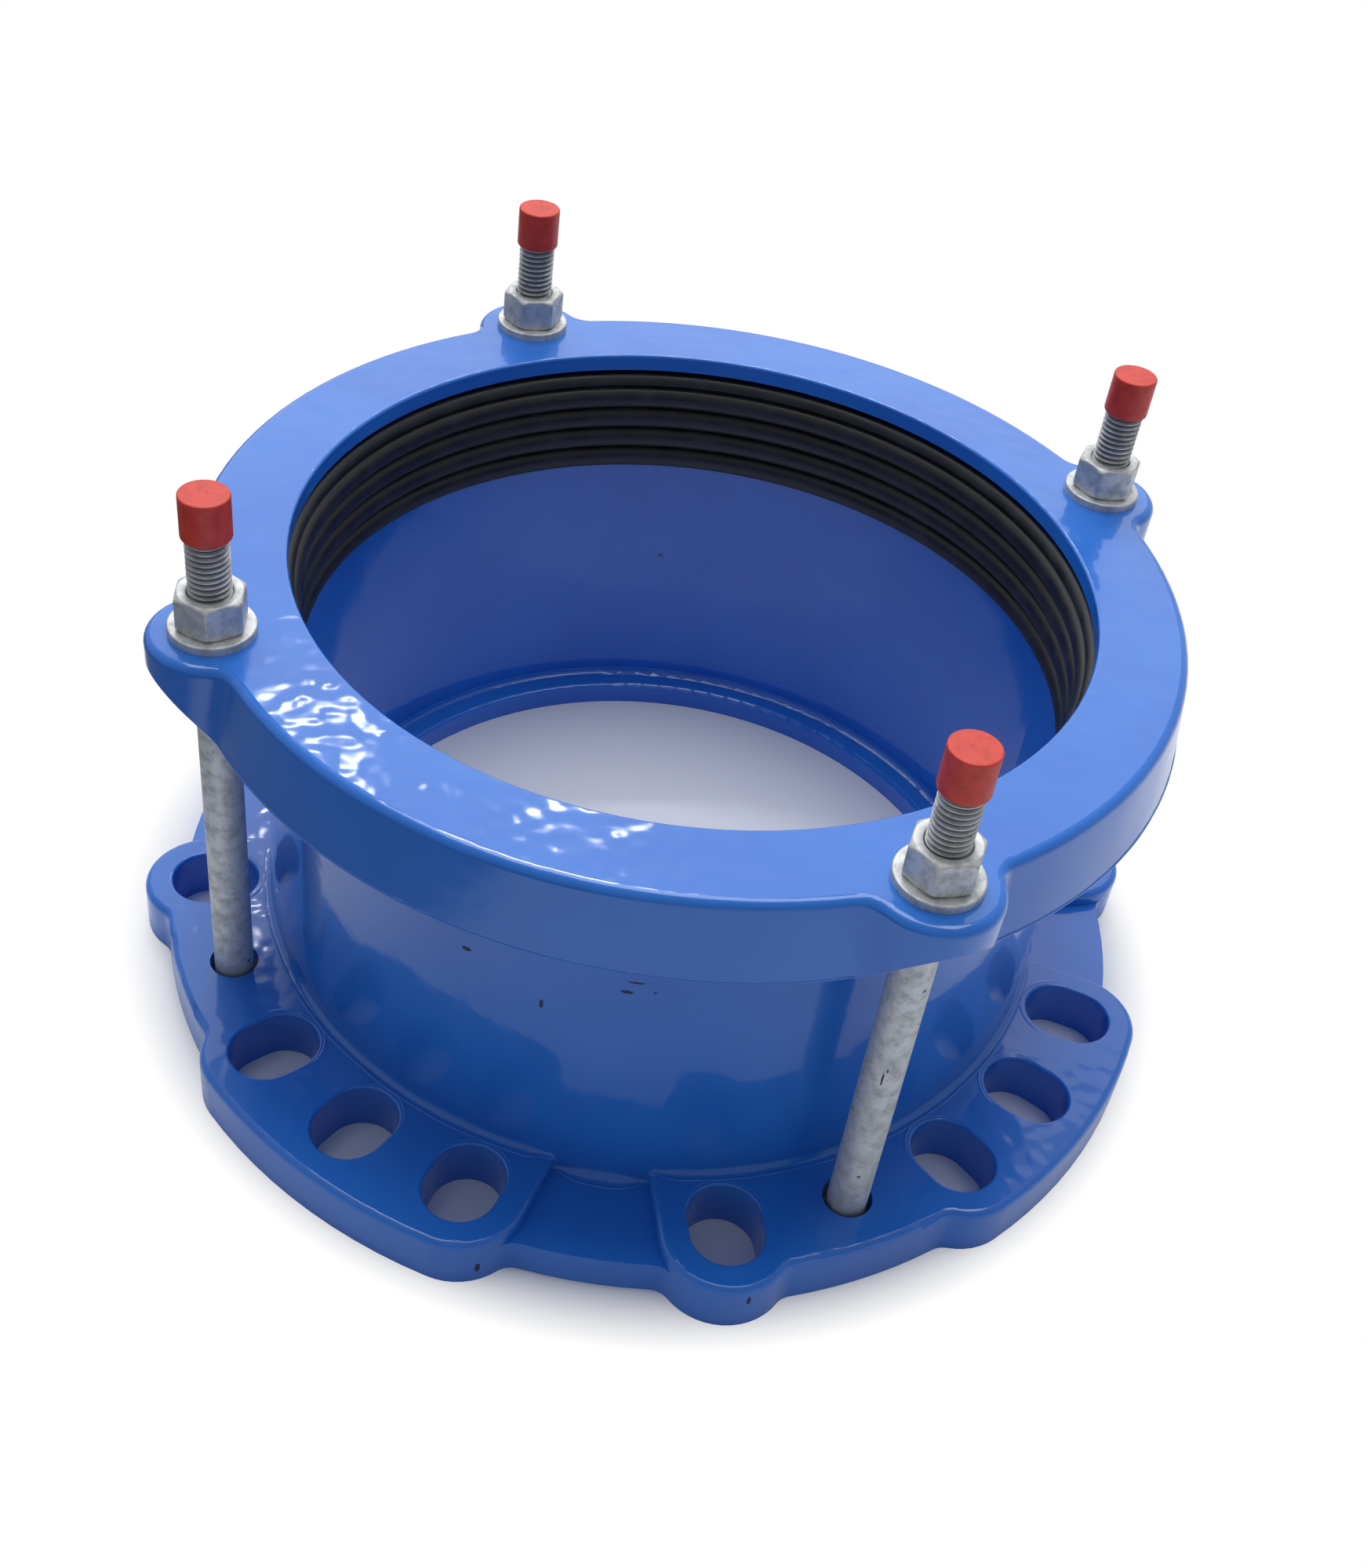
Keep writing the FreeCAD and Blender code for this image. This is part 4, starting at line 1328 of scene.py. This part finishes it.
@dataclass
class Wear:
    """Chips in the coat and scratches on a bolt, where the real one has them."""

    pad_middle: float = 150.25
    pad_round: float = 19.75
    # Angle, height, width and length of each chip on the barrel.
    barrel_chips: tuple[tuple[float, float, float, float], ...] = (
        (-125.2, 90.7, 3.6, 1.8), (-104.8, 92.4, 4.2, 1.6), (-115.0, 80.3, 1.4, 4.0),
        (-103.9, 96.4, 5.4, 0.9), (-101.5, 93.5, 1.2, 0.8),
    )
    # Angle of the pad's rounded end, then angle, height, width and length of the chip on it.
    pad_chips: tuple[tuple[float, float, float, float, float], ...] = (
        (-120.0, -78.0, 6.0, 2.0, 4.6), (-90.0, -80.0, 11.5, 1.6, 4.2),
    )
    # Number of the bolt, then angle, height, width and length of the mark on its shank.
    shank_marks: tuple[tuple[int, float, float, float, float], ...] = (
        (4, -112.0, 77.5, 0.7, 7.0), (4, -104.0, 81.0, 0.6, 1.8),
    )

    def pieces(self) -> list[Piece]:
        """All chips and marks.

        Returns:
            The pieces.
        """
        pieces: list[Piece] = []
        for number, place in enumerate(self.barrel_chips, start=1):
            pieces.append(Chip(f"barrel_chip_{number}", (0.0, 0.0), BARREL_RADIUS, *place))
        for number, (pad, *place) in enumerate(self.pad_chips, start=1):
            middle = polar(self.pad_middle, pad)
            pieces.append(Chip(f"pad_chip_{number}", middle, self.pad_round, *place))
        for number, (bolt, *place) in enumerate(self.shank_marks, start=1):
            middle = polar(BOLT_CIRCLE, bolt_angle(bolt))
            pieces.append(Chip(f"shank_mark_{number}", middle, SHANK_RADIUS, *place, slot=Slot.BOLT))
        return pieces


@dataclass(frozen=True)
class Lamp:
    """Rectangular soft lamp: its place and its width and height in metres, and its power in watts."""

    name: str
    place: tuple[float, float, float]
    size: Point
    power: float

    def hang(self, aim: Sequence[float]) -> None:
        """Hang the lamp so that it faces a point.

        Args:
            aim: The point in metres.
        """
        light = bpy.data.lights.new(self.name, "AREA")
        light.shape = "RECTANGLE"
        light.size, light.size_y = self.size
        light.energy = self.power
        lamp = bpy.data.objects.new(self.name, light)
        lamp.location = self.place
        lamp.rotation_euler = (Vector(aim) - Vector(self.place)).to_track_quat("-Z", "Y").to_euler()
        bpy.context.scene.collection.objects.link(lamp)


@dataclass
class Studio:
    """White floor, soft lamps, a pale room and the camera."""

    focal: float = 42.298
    sensor: float = 36.0
    target: tuple[float, float, float] = (-1.42, -27.81, 80.0)
    azimuth: float = -14.435
    elevation: float = 40.827
    distance: float = 576.19
    roll: float = 8.680
    nearest: float = 10.0
    floor_size: float = 12000.0
    paper: StudioPaper = StudioPaper()
    # The room is dimmer on the camera's side. Its levels are joined over a span of depth of view.
    room_tint: str = "#E6EBF2"
    near_level: float = 0.37
    far_level: float = 0.72
    room_span: Point = (-0.5, 0.7)
    # Point that the lamps face, in metres.
    middle: tuple[float, float, float] = (0.0, 0.0, 0.12)
    # The small panes are what the ripples of the coat catch.
    lamps: tuple[Lamp, ...] = (
        Lamp("window_pane_1", (-0.13, 1.45, 1.47), (0.1, 0.055), 0.45),
        Lamp("window_pane_2", (0.19, 1.45, 1.42), (0.1, 0.055), 0.45),
        Lamp("window_pane_3", (0.27, 1.45, 1.48), (0.1, 0.055), 0.45),
        Lamp("back_sheet", (0.1, 2.0, 1.45), (3.0, 1.7), 13.0),
        Lamp("overhead", (0.1, 0.4, 2.3), (1.8, 1.2), 26.0),
        Lamp("rim_strip", (0.0, 0.89, 1.8), (0.56, 0.06), 6.0),
    )

    def camera(self) -> None:
        """Set the camera where the photograph was taken from."""
        turn = math.radians(self.azimuth)
        lift = math.radians(self.elevation)
        tilt = math.radians(self.roll)
        back = Vector((math.sin(turn) * math.cos(lift), -math.cos(turn) * math.cos(lift), math.sin(lift)))
        level_right = (-back).cross(Vector((0, 0, 1))).normalized()
        level_up = level_right.cross(-back)
        right = level_right * math.cos(tilt) + level_up * math.sin(tilt)
        up = level_up * math.cos(tilt) - level_right * math.sin(tilt)
        lens = bpy.data.cameras.new("photo_camera")
        lens.lens = self.focal
        lens.sensor_width = self.sensor
        lens.clip_start = self.nearest * MM
        camera = bpy.data.objects.new("photo_camera", lens)
        centre = (Vector(self.target) + back * self.distance) * MM
        rotation = Matrix((right, up, back)).transposed().to_4x4()
        camera.matrix_world = Matrix.Translation(centre) @ rotation
        bpy.context.scene.collection.objects.link(camera)
        bpy.context.scene.camera = camera

    def floor(self) -> None:
        """Lay the floor just under the flange."""
        half = self.floor_size / 2 * MM
        corners = [(-half, -half, 0), (half, -half, 0), (half, half, 0), (-half, half, 0)]
        mesh = bpy.data.meshes.new("floor")
        mesh.from_pydata(corners, [], [(0, 1, 2, 3)])
        mesh.materials.append(self.paper.make())
        floor = bpy.data.objects.new("floor", mesh)
        bpy.context.scene.collection.objects.link(floor)

    def room(self) -> None:
        """Light the room from behind the object, with plain white where the camera sees past it."""
        world = bpy.data.worlds.new("studio")
        world.use_nodes = True
        tree = world.node_tree
        tree.nodes.clear()
        direction = add_node(tree, "ShaderNodeTexCoord").outputs["Generated"]
        depth = add_node(tree, "ShaderNodeSeparateXYZ", None, {0: direction}).outputs["Y"]
        level = add_node(tree, "ShaderNodeMapRange", {"clamp": True}, {
            "Value": depth, "From Min": self.room_span[0], "From Max": self.room_span[1],
            "To Min": self.near_level, "To Max": self.far_level,
        }).outputs["Result"]
        seen = add_node(tree, "ShaderNodeLightPath").outputs["Is Camera Ray"]
        room = add_node(tree, "ShaderNodeBackground", None, {
            "Color": hex_colour(self.room_tint), "Strength": level,
        })
        white = add_node(tree, "ShaderNodeBackground", None, {"Color": hex_colour(WHITE), "Strength": 1.0})
        mixed = add_node(tree, "ShaderNodeMixShader", None, {
            0: seen, 1: room.outputs[0], 2: white.outputs[0],
        })
        add_node(tree, "ShaderNodeOutputWorld", None, {"Surface": mixed.outputs[0]})
        bpy.context.scene.world = world

    def build(self) -> None:
        """Set the whole studio."""
        self.camera()
        self.floor()
        self.room()
        for lamp in self.lamps:
            lamp.hang(self.middle)
        bpy.context.scene.view_settings.view_transform = "Standard"


def dress(node: bpy.types.Object, finish: bpy.types.Material) -> None:
    """Give a CAD node its finish, and report it."""
    node.data.materials.clear()
    node.data.materials.append(finish)
    LOG.info("%s: dressed in %s", node.name, finish.name)


def main() -> None:
    """Load the frame, build the pieces around it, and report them."""
    logging.basicConfig(level=logging.INFO, format="%(message)s")
    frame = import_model()
    epoxy = EpoxyCoat().make()
    zinc = ZincFlake().make()
    red = CapPlastic().make()
    rubber = GasketRubber().make()
    iron = BareIron().make()
    for name in ("flange_body", "gland_ring"):
        dress(frame["nodes"][name], epoxy)
    for number in BOLTS:
        dress(frame["nodes"][f"washer_{number}"], zinc)
    plan: list[tuple[Piece, bpy.types.Material]] = []
    for number in BOLTS:
        plan += [(TieBolt(number), zinc), (HexNut(number), zinc), (ThreadCap(number), red)]
    plan.append((GasketRing(), rubber))
    plan += [(piece, epoxy) for piece in FlangeBeads().pieces()]
    plan += [(SkirtEdge(quarter), epoxy) for quarter in QUARTERS]
    plan += [(piece, iron) for piece in Wear().pieces()]
    for piece, finish in plan:
        made = piece.build(finish)
        LOG.info("%s: %d faces in %s", made.name, len(made.data.polygons), finish.name)
    Studio().build()


if __name__ == "__main__":
    main()
